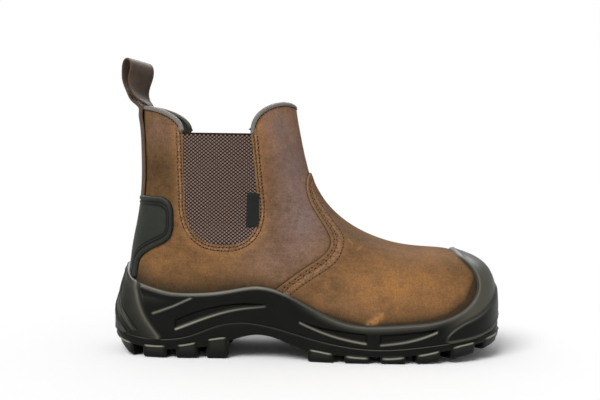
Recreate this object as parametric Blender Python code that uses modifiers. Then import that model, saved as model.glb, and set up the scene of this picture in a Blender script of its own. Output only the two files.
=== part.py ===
"""Pull-on work boot for the right foot: a hollow leather upper with elastic gores on a moulded sole.

Frame: +X to the toe, -Y to the outer side of the foot, +Z up, with the origin on the floor under the middle.
Named sizes are in millimetres, and MM turns them into the scene's metres.
"""

import bmesh
import bpy
import numpy as np

for thing in list(bpy.data.objects):
    bpy.data.objects.remove(thing)

# Driving dimensions
MM = 0.001
GAP = 0.35
LAST_GROWTH = 0.5
WALL = 2.4
BISECTIONS = 30
MERGE = 0.01
SLIVER = 0.001
TOE_X = 149.0
TOE_Y = 6.0
TOE_DOME_X = 100.0
TOE_DOME_HEIGHT_POWER = 2.6
TOE_DOME_WIDTH_POWER = 2.4
HEEL_X = -139.5
HEEL_CENTRE_X = -104.0
HEEL_POWER = 2.1
BACK_SEARCH_X = -84.0

# The feather line: height of the upper's bottom edge along the foot
FLOOR_COLUMNS = ("x", "height")
FLOOR = (
    (-140, 36.0),
    (-50, 36.0),
    (-15, 33.5),
    (15, 27.5),
    (45, 22.7),
    (75, 21.0),
    (110, 22.6),
    (150, 27.5),
)

# The feather line in plan, before the toe and heel close it
PLAN_COLUMNS = ("x", "outer", "inner")
PLAN = (
    (-105, 33.0, 33.0),
    (-75, 33.5, 31.5),
    (-45, 35.0, 30.0),
    (-15, 39.0, 32.0),
    (15, 45.0, 39.0),
    (42, 47.5, 44.5),
    (68, 47.0, 47.5),
    (100, 43.0, 46.5),
    (149, 35.0, 42.0),
)

# One row for each section of the last, toe to collar. Its plane holds the top and seat points and the Y
# direction, outer and inner are half widths, and widest is the share of the way up where they are reached.
SECTION_COLUMNS = (
    "top_x", "top_z", "seat_x", "seat_z", "outer", "inner", "widest", "low_round", "high_round", "ridge_y",
)
SECTIONS = (
    (149, 80.0, 149, 25.0, 38.0, 45.0, 0.30, 2.2, 2.5, 6.0),
    (124, 81.0, 124, 23.0, 42.5, 47.5, 0.30, 2.2, 2.5, 5.5),
    (100, 82.0, 100, 21.5, 46.0, 49.5, 0.29, 2.2, 2.5, 5.0),
    (75, 84.5, 75, 21.0, 49.5, 50.5, 0.27, 2.2, 2.4, 4.0),
    (50, 92.0, 46, 22.5, 50.5, 48.0, 0.25, 2.2, 2.2, 3.0),
    (33, 101.0, 14, 27.7, 48.0, 42.5, 0.25, 2.1, 2.1, 2.0),
    (22, 109.5, -18, 33.8, 43.5, 38.0, 0.30, 2.1, 2.0, 1.0),
    (13.5, 118.5, -52, 36.0, 40.0, 36.5, 0.35, 2.1, 2.0, 0.5),
    (7.5, 127.5, -86, 36.0, 38.5, 36.5, 0.40, 2.1, 2.0, 0.0),
    (4, 134.0, -112, 36.0, 38.0, 36.5, 0.43, 2.2, 2.0, 0.0),
    (2, 139.0, -130, 36.0, 37.5, 36.5, 0.45, 2.5, 2.0, 0.0),
    (0.5, 143.0, -139.5, 36.0, 37.5, 36.5, 0.47, 3.0, 2.0, 0.0),
    (-0.8, 147.5, -141, 58.0, 37.5, 36.5, 0.48, 2.65, 2.0, 0.0),
    (-2.4, 153.5, -138.3, 82.0, 37.3, 36.5, 0.49, 2.35, 2.0, 0.0),
    (-4.2, 161.0, -134, 106.0, 37.0, 36.5, 0.50, 2.15, 2.0, 0.0),
    (-6.2, 170.5, -131.4, 130.0, 37.0, 36.5, 0.50, 2.0, 2.0, 0.0),
    (-8.2, 180.5, -131.2, 153.0, 37.0, 36.5, 0.50, 2.0, 2.0, 0.0),
    (-10, 191.0, -132.3, 178.0, 37.0, 36.5, 0.50, 2.0, 2.0, 0.0),
    (-12, 206.0, -133.6, 206.0, 37.0, 36.5, 0.50, 2.0, 2.0, 0.0),
)
HEEL_ROW = 11
ROWS_TOE = 7
ROWS_FLOOR = 16
ROWS_BACK = 11
HEEL_CROWDING = 1.6
UPPER_HALF_COLUMNS = 16
SECTION_SAMPLES = 60
END_CROWDING = 0.07

# Collar and gore windows as the side view shows them
ABOVE_Z = 240.0
BELOW_TABS_Z = 150.0
BEHIND_X = -160.0
AHEAD_X = 20.0
TAB_SPLIT_X = {"rear": -80.0, "front": -60.0}
TAB_TOP_Z = 192.0
COLLAR_TABS = {
    "rear": (
        (BEHIND_X, 194), (-136, 193.8), (-125, 193), (-114, 191), (-106, 187.5), (-100, 182.5), (-95, 173.5),
    ),
    "front": (
        (-43.5, 173.5), (-43, 178.5), (-40, 186), (-35, 191.3), (-26, 195.8), (-17, 197.6), (AHEAD_X, 197),
    ),
}
GORE_TOP_Z = 173.5
GORE_COLUMNS = ("height", "rear_x", "front_x")
GORE = (
    (174, -95.0, -43.2),
    (147, -94.6, -39.6),
    (120, -93.4, -35.8),
    (106, -90.6, -36.2),
    (96, -84.0, -42.5),
    (90, -75.5, -50.5),
    (87.5, -66.0, -60.0),
)
GORE_OVERLAP = 8.0
GORE_THICKNESS = 1.6
GORE_GAP = 0.65
HALF_WIDTH_REACH = 90.0
MIDDLE_CLEAR = 12.0

TAG_OUTLINE = ((-46.4, 103.0), (-38.4, 104.5), (-38.2, 127.5), (-47.2, 128.5))
TAG_THICKNESS = 1.2

BINDING_DEPTH = 5.0
BINDING_THICKNESS = 1.0
BINDING_END_Z = 174.0

# Heel patch: height, and how far forward it reaches at that height
COUNTER_COLUMNS = ("height", "front_x")
COUNTER = (
    (123.5, -112.0),
    (120.5, -106.5),
    (114, -104.0),
    (100, -103.6),
    (92, -106.0),
    (87, -112.0),
    (83.5, -120.0),
    (79, -128.0),
    (73.5, -133.0),
)
COUNTER_THICKNESS = 2.4

# Sole edge: places are millimetres round the edge, from the middle of the toe to the middle of the heel
TOE_CENTRE = (80.0, 4.0)
TOE_TURN = 95.0
HEEL_TURN = 279.0
EDGE_END = 337.0
TUCK_RISE = 12.0
RAY_REACH = 140.0
# lip is the elevation of the wall's top edge seen from the foot's middle, swing turns it round the toe
EDGE_COLUMNS = ("place", "lip", "swing", "margin")
EDGE = (
    (0, 61.0, 0.0, 5.0),
    (21, 50.0, 11.0, 5.0),
    (28, 43.0, 6.0, 5.2),
    (40, 31.0, -3.0, 5.5),
    (58, 18.8, -7.0, 6.0),
    (72, 13.5, -5.0, 6.3),
    (95, 10.4, 0.0, 6.0),
    (118, 8.1, 0.0, 5.0),
    (141, 6.8, 0.0, 5.0),
    (163, 10.8, 0.0, 5.2),
    (186, 19.6, 0.0, 4.8),
    (214, 26.9, 0.0, 4.0),
    (236, 23.3, 0.0, 4.0),
    (257, 20.5, 0.0, 5.0),
    (279, 21.3, 0.0, 6.0),
    (302, 26.6, 0.0, 8.5),
    (312, 29.0, 0.0, 10.0),
    (321, 35.0, 0.0, 11.0),
    (337, 43.0, 0.0, 11.8),
)
LIP_THICKNESS = 2.6
LIP_ROUND = 1.0
LIP_OVER = 0.12
LIP_SINK = 2.0
SWING_POWER = 1.5
EDGE_STATIONS = 38
WALL_STEPS = (0.0, 0.14, 0.32, 0.52, 0.72, 0.88, 1.0)
WALL_FOOT = 4.0

# Line where midsole and outsole part, and the outsole's underside between the lugs
PARTING_COLUMNS = ("x", "height")
PARTING = (
    (-154, 19.0),
    (-113, 14.8),
    (-90, 18.0),
    (-69, 26.0),
    (-46, 28.4),
    (-12, 22.0),
    (20, 14.5),
    (52, 11.0),
    (85, 13.0),
    (125, 17.5),
    (154, 21.5),
)
BASE_COLUMNS = ("x", "height")
BASE = (
    (-154, 13.0),
    (-130, 8.6),
    (-78, 9.0),
    (-62, 13.0),
    (-40, 19.0),
    (-20, 15.5),
    (-2, 8.5),
    (20, 6.0),
    (60, 5.4),
    (85, 7.0),
    (125, 12.5),
    (154, 16.5),
)
SPRING_X = 70.0
SPRING_RISE = 12.0
SPRING_RUN = 80.0
BEVEL_X = -132.0
BEVEL_RISE = 8.0
BEVEL_RUN = 20.0

# Tread: lugs round the edge and bars across the middle
RIM_BULGE = 0.5
LUG_PROUD = 1.0
LUG_DEPTH = 20.0
LUG_ROOT = 2.0
LUG_DRAFT = 1.6
LUG_STATIONS = 5
TOE_LUGS = {"pitch": 27.4, "length": 19.4, "count": 7}
HEEL_LUGS = {"pitch": 23.2, "length": 16.2, "count": 5}
BAR_COLUMNS = ("x", "half_width", "length", "sweep")
BARS = (
    (-104, 14.0, 11.0, 5.0),
    (-80, 13.0, 11.0, 5.0),
    (10, 21.0, 12.0, 7.0),
    (38, 25.0, 12.0, 7.0),
    (66, 26.0, 12.0, 7.0),
    (94, 22.0, 12.0, 7.0),
)

INSOLE_INSET = 6.0
INSOLE_FOOT = 0.05
INSOLE_LIFT = 0.3
INSOLE_THICKNESS = 4.0

# Pull loop: strap width, thickness and its path above the collar in the loop's own plane
STRAP_WIDTH = 24.0
STRAP_THICKNESS = 1.8
STRAP_COLUMNS = 5
STRAP_SLOPE_STEP = 0.5
STRAP_CLEAR = (GAP, 4 * GAP + BINDING_THICKNESS)
STRAP_OUTSIDE_Z = (126.0, 142.0, 158.0, 174.0, 182.0, 188.0, 193.0)
STRAP_INSIDE_Z = (193.0, 187.0, 178.0, 168.0)
STRAP_OVER_BINDING_Z = (176.0, 186.0)
STRAP_INSIDE_CLEAR = 0.9
LOOP_COLUMNS = ("along", "height")
LOOP = (
    (-4.6, 198.0),
    (-4.6, 204.0),
    (-5.8, 212.0),
    (-7.0, 219.0),
    (-6.8, 225.5),
    (-4.3, 230.0),
    (-0.3, 231.4),
    (3.8, 229.6),
    (5.9, 225.0),
    (5.6, 219.5),
    (3.6, 213.5),
    (1.8, 207.5),
    (2.6, 202.0),
    (5.6, 197.5),
)
LOOP_CENTRE_X = -131.5
LOOP_LEAN = -2.0
LOOP_TWIST_DEG = 38.0
LOOP_TWIST_Z = (192.0, 218.0)


class Spline:
    """Natural cubic through the rows of a table, held at its end values outside them."""

    def __init__(self, knots, rows):
        self.knots = np.asarray(knots, float)
        self.rows = np.asarray(rows, float)
        self.step = np.diff(self.knots)
        slope = np.diff(self.rows, axis=0) / self.step[:, None]
        inside = np.arange(1, len(self.knots) - 1)
        matrix = np.eye(len(self.knots))
        matrix[inside, inside - 1] = self.step[:-1]
        matrix[inside, inside] = 2 * (self.step[:-1] + self.step[1:])
        matrix[inside, inside + 1] = self.step[1:]
        right = np.zeros_like(self.rows)
        right[1:-1] = 6 * np.diff(slope, axis=0)
        self.bend = np.linalg.solve(matrix, right)

    def __call__(self, at):
        held = np.clip(at, self.knots[0], self.knots[-1])
        i = np.clip(np.searchsorted(self.knots, held, side="right") - 1, 0, len(self.step) - 1)
        step = self.step[i]
        b = (held - self.knots[i]) / step
        a = 1 - b
        curl = (a**3 - a)[..., None] * self.bend[i] + (b**3 - b)[..., None] * self.bend[i + 1]
        return a[..., None] * self.rows[i] + b[..., None] * self.rows[i + 1] + curl * (step**2 / 6)[..., None]


def columns_of(names, table):
    """The table's columns as arrays, by name."""
    return dict(zip(names, np.array(table, float).T))


def curve_of(names, table):
    """Spline over a table whose first column is the knot: a function from knots to its other columns."""
    rows = np.array(table, float)
    spline = Spline(rows[:, 0], rows[:, 1:])
    return lambda at: dict(zip(names[1:], np.moveaxis(spline(np.asarray(at, float)), -1, 0)))


def section_knots():
    """Distance along the fan of sections: the mean of the steps of its top and seat points."""
    ends = np.array(SECTIONS, float)[:, :4]
    steps = np.diff(ends, axis=0)
    run = (np.hypot(steps[:, 0], steps[:, 1]) + np.hypot(steps[:, 2], steps[:, 3])) / 2
    return np.concatenate([[0.0], np.cumsum(run)])


SECTION_KNOTS = section_knots()
SECTION_CURVE = Spline(SECTION_KNOTS, SECTIONS)
FLOOR_CURVE = curve_of(FLOOR_COLUMNS, FLOOR)
PLAN_CURVE = curve_of(PLAN_COLUMNS, PLAN)
EDGE_CURVE = curve_of(EDGE_COLUMNS, EDGE)
PARTING_CURVE = curve_of(PARTING_COLUMNS, PARTING)
BASE_CURVE = curve_of(BASE_COLUMNS, BASE)
COLLAR_S = SECTION_KNOTS[-1]
HEEL_S = SECTION_KNOTS[HEEL_ROW]
TOE_DOME_S = SECTION_KNOTS[2]


def dome(distance, length, power):
    """One at distance 0, falling as a superellipse to nought at length."""
    share = np.clip(distance / length, 0, 1)
    return (1 - share**power) ** (1 / power)


def floor_height(x):
    return FLOOR_CURVE(x)["height"]


def ground_height(x):
    """Lowest reach of the tread: flat, with a toe spring and a bevel at the back of the heel."""
    spring = SPRING_RISE * (np.maximum(x - SPRING_X, 0) / SPRING_RUN) ** 2
    bevel = BEVEL_RISE * (np.maximum(BEVEL_X - x, 0) / BEVEL_RUN) ** 2
    return spring + bevel


def section(s):
    """Shape of the section at distance s along the fan, as a dictionary of arrays."""
    row = dict(zip(SECTION_COLUMNS, np.moveaxis(SECTION_CURVE(np.asarray(s, float)), -1, 0)))
    on_floor = s <= HEEL_S
    seat_x = row["seat_x"]
    row["seat_z"] = np.where(on_floor, floor_height(seat_x), row["seat_z"])
    run = TOE_X - TOE_DOME_X
    tall = dome(seat_x - TOE_DOME_X, run, TOE_DOME_HEIGHT_POWER)
    wide = dome(seat_x - TOE_DOME_X, run, TOE_DOME_WIDTH_POWER)
    row["top_z"] = row["seat_z"] + (row["top_z"] - row["seat_z"]) * tall
    back = dome(HEEL_CENTRE_X - seat_x, HEEL_CENTRE_X - HEEL_X, HEEL_POWER)
    plan = PLAN_CURVE(seat_x)
    close = np.where(on_floor, back, 0.0) * wide
    shift = TOE_Y * (1 - wide)
    row["wide"] = (shift - row["outer"] * wide, shift + row["inner"] * wide)
    row["edge"] = (shift - plan["outer"] * close, shift + plan["inner"] * close)
    return row


def side_y(row, t, side):
    """Y of the section's outer (0) or inner (1) half at share t of the way from seat to top."""
    wide, edge, widest, ridge = row["wide"][side], row["edge"][side], row["widest"], row["ridge_y"]
    low_round, high_round = row["low_round"], row["high_round"]
    low = (1 - np.clip(1 - t / widest, 0, 1) ** low_round) ** (1 / low_round)
    high = (1 - np.clip((t - widest) / (1 - widest), 0, 1) ** high_round) ** (1 / high_round)
    return np.where(t < widest, edge + (wide - edge) * low, ridge + (wide - ridge) * high)


def section_through(x, z):
    """Distance s of the section plane through side-view points, and their share t from seat to top."""
    low = np.zeros(np.shape(x))
    high = np.full(np.shape(x), COLLAR_S)
    for _ in range(BISECTIONS):
        middle = (low + high) / 2
        row = section(middle)
        turn = (row["top_x"] - row["seat_x"]) * (z - row["seat_z"])
        turn = turn - (row["top_z"] - row["seat_z"]) * (x - row["seat_x"])
        high = np.where(turn < 0, middle, high)
        low = np.where(turn < 0, low, middle)
    row = section((low + high) / 2)
    along_x, along_z = row["top_x"] - row["seat_x"], row["top_z"] - row["seat_z"]
    length = np.maximum(along_x**2 + along_z**2, 1e-9)
    t = ((x - row["seat_x"]) * along_x + (z - row["seat_z"]) * along_z) / length
    return row, t


def is_inside(x, y, z, rise):
    """True within the upper's outer surface, filled straight down from this rise above its foot."""
    row, t = section_through(x, np.maximum(z, floor_height(x) + rise))
    within = (y >= side_y(row, t, 0)) & (y <= side_y(row, t, 1))
    return within & (t >= 0) & (t <= 1) & (x <= TOE_X)


def back_x(y, z):
    """X of the upper's back wall at sideways distance y and height z."""
    y, z = np.broadcast_arrays(np.asarray(y, float), np.asarray(z, float))
    low = np.full(y.shape, BEHIND_X)
    high = np.full(y.shape, BACK_SEARCH_X)
    for _ in range(BISECTIONS):
        middle = (low + high) / 2
        row, t = section_through(middle, z)
        reach = np.where(y < 0, -side_y(row, t, 0), side_y(row, t, 1))
        hit = (t > 0) & (reach > np.abs(y))
        high = np.where(hit, middle, high)
        low = np.where(hit, low, middle)
    return (low + high) / 2


def upper_rows():
    """Distances s of the upper's rows: close together at the toe's tip and the heel's end, then even."""
    toe = TOE_DOME_S * (1 - np.cos(np.linspace(0, np.pi / 2, ROWS_TOE)))
    left = np.linspace(1, 0, ROWS_FLOOR) ** HEEL_CROWDING
    floor = HEEL_S + (TOE_DOME_S - HEEL_S) * left
    back = np.linspace(HEEL_S, COLLAR_S, ROWS_BACK)
    return np.concatenate([toe, floor[1:], back[1:]])


def half_section(row, side):
    """Points of one half of a section, from its seat to its top, closer together at both ends."""
    quarter = np.linspace(0, np.pi / 2, SECTION_SAMPLES)
    widest = row["widest"]
    low_t = widest * (1 - np.cos(quarter) ** (2 / row["low_round"]))
    high_t = widest + (1 - widest) * np.sin(quarter) ** (2 / row["high_round"])
    t = np.concatenate([low_t, high_t[1:]])
    x = row["seat_x"] + (row["top_x"] - row["seat_x"]) * t
    z = row["seat_z"] + (row["top_z"] - row["seat_z"]) * t
    points = np.stack([x, side_y(row, t, side), z], axis=-1)
    length = np.concatenate([[0.0], np.cumsum(np.linalg.norm(np.diff(points, axis=0), axis=1))])
    share = np.linspace(0, 1, UPPER_HALF_COLUMNS + 1)
    spaced = length[-1] * (share - END_CROWDING * np.sin(2 * np.pi * share))
    return np.stack([np.interp(spaced, length, points[:, axis]) for axis in range(3)], axis=-1)


def upper_grid():
    """Grid of points on the upper's outer surface: a row for each section, from outer to inner edge."""
    rows = []
    for s in upper_rows():
        row = section(s)
        rows.append(np.concatenate([half_section(row, 0), half_section(row, 1)[-2::-1]]))
    return np.array(rows)


def edge_frame(places, side, swing=0.0):
    """Points on the foot's middle line and the directions from them out to the sole's edge."""
    turn = np.interp(places, (0, TOE_TURN, HEEL_TURN, EDGE_END), (0, 90, 90, 180))
    turn = np.radians(turn + swing)
    x = np.interp(places, (TOE_TURN, HEEL_TURN), (TOE_CENTRE[0], HEEL_CENTRE_X))
    y = np.interp(places, (TOE_TURN, HEEL_TURN), (TOE_CENTRE[1], 0.0))
    return x, y, np.cos(turn), np.sin(turn) * (-1 if side == 0 else 1)


def wall_points(places, side, climb, swing, rise=TUCK_RISE):
    """Points where rays climbing from the foot's middle leave the upper's surface."""
    x, y, ahead, aside = edge_frame(places, side, swing)
    base = floor_height(x)
    low = np.zeros(np.shape(climb))
    high = np.full(np.shape(climb), RAY_REACH)
    for _ in range(BISECTIONS):
        reach = (low + high) / 2
        flat = reach * np.cos(climb)
        inside = is_inside(x + flat * ahead, y + flat * aside, base + reach * np.sin(climb), rise)
        low = np.where(inside, reach, low)
        high = np.where(inside, high, reach)
    flat = low * np.cos(climb)
    return np.stack([x + flat * ahead, y + flat * aside, base + low * np.sin(climb)], axis=-1)


def sole_ring(places, side, out, rise=TUCK_RISE):
    """Points of the sole's edge in plan, this far outside the upper's foot, at floor height."""
    foot = wall_points(places, side, np.zeros_like(places), 0.0, rise)
    _, _, ahead, aside = edge_frame(places, side)
    return foot + np.stack([ahead * out, aside * out, np.zeros_like(places)], axis=-1)


def margin_at(places):
    return EDGE_CURVE(places)["margin"]


def at_height(ring, height):
    """The ring with each point moved to a height given along X."""
    return np.concatenate([ring[..., :2], height(ring[..., 0])[..., None]], axis=-1)


def parting_height(x):
    return PARTING_CURVE(x)["height"]


def base_height(x):
    return BASE_CURVE(x)["height"]


def edge_places():
    return np.linspace(0, EDGE_END, EDGE_STATIONS)


def collection(name):
    group = bpy.data.collections.new(name)
    bpy.context.scene.collection.children.link(group)
    return group


BOOT = collection("work_boot")
CUTTERS = collection("cutters")
CUTTERS.hide_render = True


def material(name, colour, roughness):
    """Principled material from an sRGB hex colour."""
    surface = bpy.data.materials.new(name)
    surface.use_nodes = True
    shader = surface.node_tree.nodes["Principled BSDF"]
    levels = [int(colour[i : i + 2], 16) / 255 for i in (1, 3, 5)]
    linear = [c / 12.92 if c <= 0.04045 else ((c + 0.055) / 1.055) ** 2.4 for c in levels]
    shader.inputs["Base Color"].default_value = (*linear, 1)
    shader.inputs["Roughness"].default_value = roughness
    shader.inputs["Metallic"].default_value = 0.0
    surface.diffuse_color = (*linear, 1)
    return surface


def solid(name, points, faces, closed=True):
    """Object from points in millimetres and faces: doubles merged, a closed form's faces turned out."""
    mesh = bpy.data.meshes.new(name)
    mesh.from_pydata((np.asarray(points).reshape(-1, 3) * MM).tolist(), [], faces)
    shape = bmesh.new()
    shape.from_mesh(mesh)
    bmesh.ops.remove_doubles(shape, verts=shape.verts, dist=MERGE * MM)
    bmesh.ops.dissolve_degenerate(shape, edges=shape.edges, dist=SLIVER * MM)
    if closed:
        bmesh.ops.recalc_face_normals(shape, faces=shape.faces)
    if closed and shape.calc_volume(signed=True) < 0:
        bmesh.ops.reverse_faces(shape, faces=shape.faces)
    shape.to_mesh(mesh)
    shape.free()
    thing = bpy.data.objects.new(name, mesh)
    CUTTERS.objects.link(thing)
    thing.hide_render = True
    thing.display_type = "WIRE"
    return thing


def grid_faces(rows, columns, wrapped=False):
    """Quads of a grid whose points run row by row, its last column joined to the first when wrapped."""
    last = columns if wrapped else columns - 1
    corner = [(r, c, (c + 1) % columns) for r in range(rows - 1) for c in range(last)]
    base = [(r * columns, (r + 1) * columns, c, d) for r, c, d in corner]
    return [(this + c, this + d, after + d, after + c) for this, after, c, d in base]


def prism(name, outline, start_y, end_y):
    """Side-view outline carried straight across from start_y to end_y."""
    count = len(outline)
    near = [(x, start_y, z) for x, z in outline]
    far = [(x, end_y, z) for x, z in outline]
    faces = [tuple(range(count)), tuple(range(2 * count - 1, count - 1, -1))]
    faces += [(i, (i + 1) % count, count + (i + 1) % count, count + i) for i in range(count)]
    return solid(name, near + far, faces)


def stack_solid(name, outer_rings, inner_rings):
    """Rings of the sole's edge stacked into a solid, the first and last closed by rungs across the foot."""
    stations = outer_rings.shape[1]
    rings = np.concatenate([outer_rings, inner_rings[:, -2:0:-1]], axis=1)
    count = rings.shape[1]
    faces = grid_faces(len(rings), count, wrapped=True)
    for start in (0, (len(rings) - 1) * count):
        mate = [start + (count - i) % count for i in range(stations)]
        rungs = [(start + i, start + i + 1, mate[i + 1], mate[i]) for i in range(1, stations - 2)]
        last = start + stations - 1
        faces += rungs + [(start, start + 1, mate[1]), (last - 1, last, mate[stations - 2])]
    return solid(name, rings, faces)


def boolean(thing, operation, other):
    change = thing.modifiers.new(operation.lower(), "BOOLEAN")
    change.operation = operation
    change.solver = "EXACT"
    change.object = other


def finish(thing, surface):
    """The object as a named sub-part of the boot, with its material."""
    CUTTERS.objects.unlink(thing)
    BOOT.objects.link(thing)
    thing.hide_render = False
    thing.display_type = "TEXTURED"
    thing.data.materials.append(surface)
    thing.parent = ROOT
    return thing


ROOT = bpy.data.objects.new("boot_frame", None)
BOOT.objects.link(ROOT)
UPPER_POINTS = upper_grid()


def upper_shell(name, out, thickness):
    """Wall that follows the upper's own surface, from this far outside it inward by its thickness."""
    rows, columns = UPPER_POINTS.shape[:2]
    shell = solid(name, UPPER_POINTS, grid_faces(rows, columns), closed=False)
    if out:
        grow = shell.modifiers.new("grow", "DISPLACE")
        grow.strength = out * MM
        grow.mid_level = 0.0
    wall = shell.modifiers.new("wall", "SOLIDIFY")
    wall.thickness = thickness * MM
    wall.offset = -1.0
    wall.use_even_offset = True
    return shell


def last_form():
    """The last as a closed form, grown on every side so that the midsole clears the upper."""
    rows, columns = UPPER_POINTS.shape[:2]
    faces = grid_faces(rows, columns, wrapped=True)
    faces.append(tuple(range((rows - 1) * columns, rows * columns)))
    form = solid("last_form", UPPER_POINTS, faces)
    grow = form.modifiers.new("grow", "DISPLACE")
    grow.strength = LAST_GROWTH * MM
    grow.mid_level = 0.0
    return form


def above_collar(lift):
    """Cutters that take away what is above each collar tab, raised by lift."""
    rear = [(x, z + lift) for x, z in COLLAR_TABS["rear"]]
    front = [(x, z + lift) for x, z in COLLAR_TABS["front"]]
    outline = rear + front + [(AHEAD_X, ABOVE_Z), (BEHIND_X, ABOVE_Z)]
    return prism("above_collar", outline, -HALF_WIDTH_REACH, HALF_WIDTH_REACH)


def gore_outline(overlap, top):
    """Side-view outline of the gore window, widened by overlap and ending at a height."""
    rows = columns_of(GORE_COLUMNS, GORE)
    height = rows["height"]
    height = height - overlap * (height[0] - height) / (height[0] - height[-1])
    height[0] = top
    rear = list(zip(rows["rear_x"] - overlap, height))
    front = list(zip(rows["front_x"] + overlap, height))
    return rear + front[::-1]


def make_upper():
    upper = upper_shell("upper", 0.0, WALL)
    boolean(upper, "DIFFERENCE", above_collar(0.0))
    window = prism("gore_window", gore_outline(0.0, ABOVE_Z), -HALF_WIDTH_REACH, HALF_WIDTH_REACH)
    boolean(upper, "DIFFERENCE", window)
    finish(upper, material("oiled leather", "#5c4630", 0.55))


def make_gores():
    elastic = material("woven elastic", "#4a3d30", 0.85)
    spans = {"gore_outer": (-HALF_WIDTH_REACH, -MIDDLE_CLEAR), "gore_inner": (MIDDLE_CLEAR, HALF_WIDTH_REACH)}
    for name, (start_y, end_y) in spans.items():
        gore = upper_shell(name, -(WALL + GORE_GAP), GORE_THICKNESS)
        outline = gore_outline(GORE_OVERLAP, GORE_TOP_Z)
        boolean(gore, "INTERSECT", prism(name + "_outline", outline, start_y, end_y))
        finish(gore, elastic)


def make_tag():
    tag = upper_shell("gore_tag", TAG_THICKNESS - WALL, TAG_THICKNESS)
    boolean(tag, "INTERSECT", prism("tag_outline", TAG_OUTLINE, -HALF_WIDTH_REACH, -MIDDLE_CLEAR))
    finish(tag, material("woven label", "#191818", 0.8))


def tab_edge(tab, sideways, up):
    """Outline of a collar tab, its sloping side moved sideways out of the tab and the whole raised."""
    away = 1 if tab == "rear" else -1
    return [(x + away * sideways * (z < TAB_TOP_Z), z + up) for x, z in COLLAR_TABS[tab]]


def make_binding(tab, tape):
    """Tape folded over the edge of a collar tab: a band round the edge, hollow where the leather goes in."""
    name = "binding_" + tab
    over = GAP + BINDING_THICKNESS
    binding = upper_shell(name, over, WALL + 2 * over)
    low = [(x, max(z, BINDING_END_Z)) for x, z in tab_edge(tab, -BINDING_DEPTH, -BINDING_DEPTH)]
    outline = tab_edge(tab, over, over) + low[::-1]
    boolean(binding, "INTERSECT", prism(name + "_band", outline, -HALF_WIDTH_REACH, HALF_WIDTH_REACH))
    hollow = upper_shell(name + "_hollow", GAP, WALL + 2 * GAP)
    edge = tab_edge(tab, GAP, GAP)
    split = [(TAB_SPLIT_X[tab], BELOW_TABS_Z), (TAB_SPLIT_X[tab], ABOVE_Z)]
    if tab == "front":
        above = [(edge[0][0], BELOW_TABS_Z)] + edge + [(AHEAD_X, ABOVE_Z)] + split[::-1]
    else:
        above = edge + [(edge[-1][0], BELOW_TABS_Z)] + split + [(BEHIND_X, ABOVE_Z)]
    boolean(hollow, "DIFFERENCE", prism(name + "_above", above, -HALF_WIDTH_REACH, HALF_WIDTH_REACH))
    boolean(binding, "DIFFERENCE", hollow)
    finish(binding, tape)


def make_bindings():
    tape = material("binding tape", "#6b655e", 0.75)
    for tab in COLLAR_TABS:
        make_binding(tab, tape)


def make_counter():
    patch = upper_shell("heel_counter", GAP + COUNTER_THICKNESS, COUNTER_THICKNESS)
    rows = columns_of(COUNTER_COLUMNS, COUNTER)
    front = list(zip(rows["front_x"], rows["height"]))
    outline = [(BEHIND_X, rows["height"][0])] + front + [(BEHIND_X, rows["height"][-1])]
    boolean(patch, "INTERSECT", prism("counter_outline", outline, -HALF_WIDTH_REACH, HALF_WIDTH_REACH))
    finish(patch, material("moulded patch", "#1d1c1a", 0.6))


def wall_rings(side):
    """Rings of the midsole's outer wall, from the parting line up to the lip and over it into the last."""
    places = edge_places()
    edge = EDGE_CURVE(places)
    lip, swing, margin = edge["lip"], edge["swing"], edge["margin"]
    bottom = at_height(sole_ring(places, side, margin), lambda x: parting_height(x) + GAP)
    middle_x, middle_y, _, _ = edge_frame(places, side)
    reach = np.hypot(bottom[:, 0] - middle_x, bottom[:, 1] - middle_y)
    start = np.arctan2(np.maximum(bottom[:, 2] + WALL_FOOT - floor_height(middle_x), 0.0), reach)
    steps = np.array(WALL_STEPS)[:, None]
    climb = start + (np.radians(lip) - start) * steps
    base = wall_points(np.broadcast_to(places, climb.shape), side, climb, steps**SWING_POWER * swing)
    along = np.gradient(base, axis=1)
    up = np.gradient(base, axis=0)
    normal = np.cross(along, up) * (-1 if side == 0 else 1)
    normal[:, 0, 1] = 0.0
    normal[:, -1, 1] = 0.0
    normal /= np.linalg.norm(normal, axis=-1, keepdims=True)
    thick = LIP_THICKNESS + (margin - LIP_THICKNESS) * (1 - steps**2)
    wall = base + normal * thick[..., None]
    over = base[-1] + normal[-1] * LIP_ROUND + (base[-1] - base[-2]) * LIP_OVER
    into = base[-1] - normal[-1] * LIP_SINK
    return np.concatenate([bottom[None], wall, over[None], into[None]])


def make_midsole():
    midsole = stack_solid("midsole", wall_rings(0), wall_rings(1))
    boolean(midsole, "DIFFERENCE", last_form())
    finish(midsole, material("moulded foam", "#26251f", 0.6))


def edge_band(places, side):
    """The two edges of the band of tread under the sole's rim: proud of the rim, and well inside it."""
    margin = margin_at(places)
    return sole_ring(places, side, margin + LUG_PROUD), sole_ring(places, side, margin - LUG_DEPTH)


def lug(name, outer, inner):
    """Block of tread between the two edges of its band, its foot drawn in all round."""
    root = [at_height(ring, lambda x: base_height(x) + LUG_ROOT) for ring in (outer, inner)]
    middle = (outer[0] + outer[-1] + inner[0] + inner[-1]) / 4
    foot = []
    for ring in (outer, inner):
        pull = middle - ring
        drawn = ring + pull * (LUG_DRAFT / np.linalg.norm(pull[:, :2], axis=1))[:, None]
        foot.append(at_height(drawn, ground_height))
    loop = np.stack([root[0], foot[0], foot[1], root[1]], axis=1)
    count = len(outer)
    faces = grid_faces(count, 4, wrapped=True) + [(0, 1, 2, 3), tuple(range(4 * count - 4, 4 * count))]
    return solid(name, loop, faces)


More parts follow.
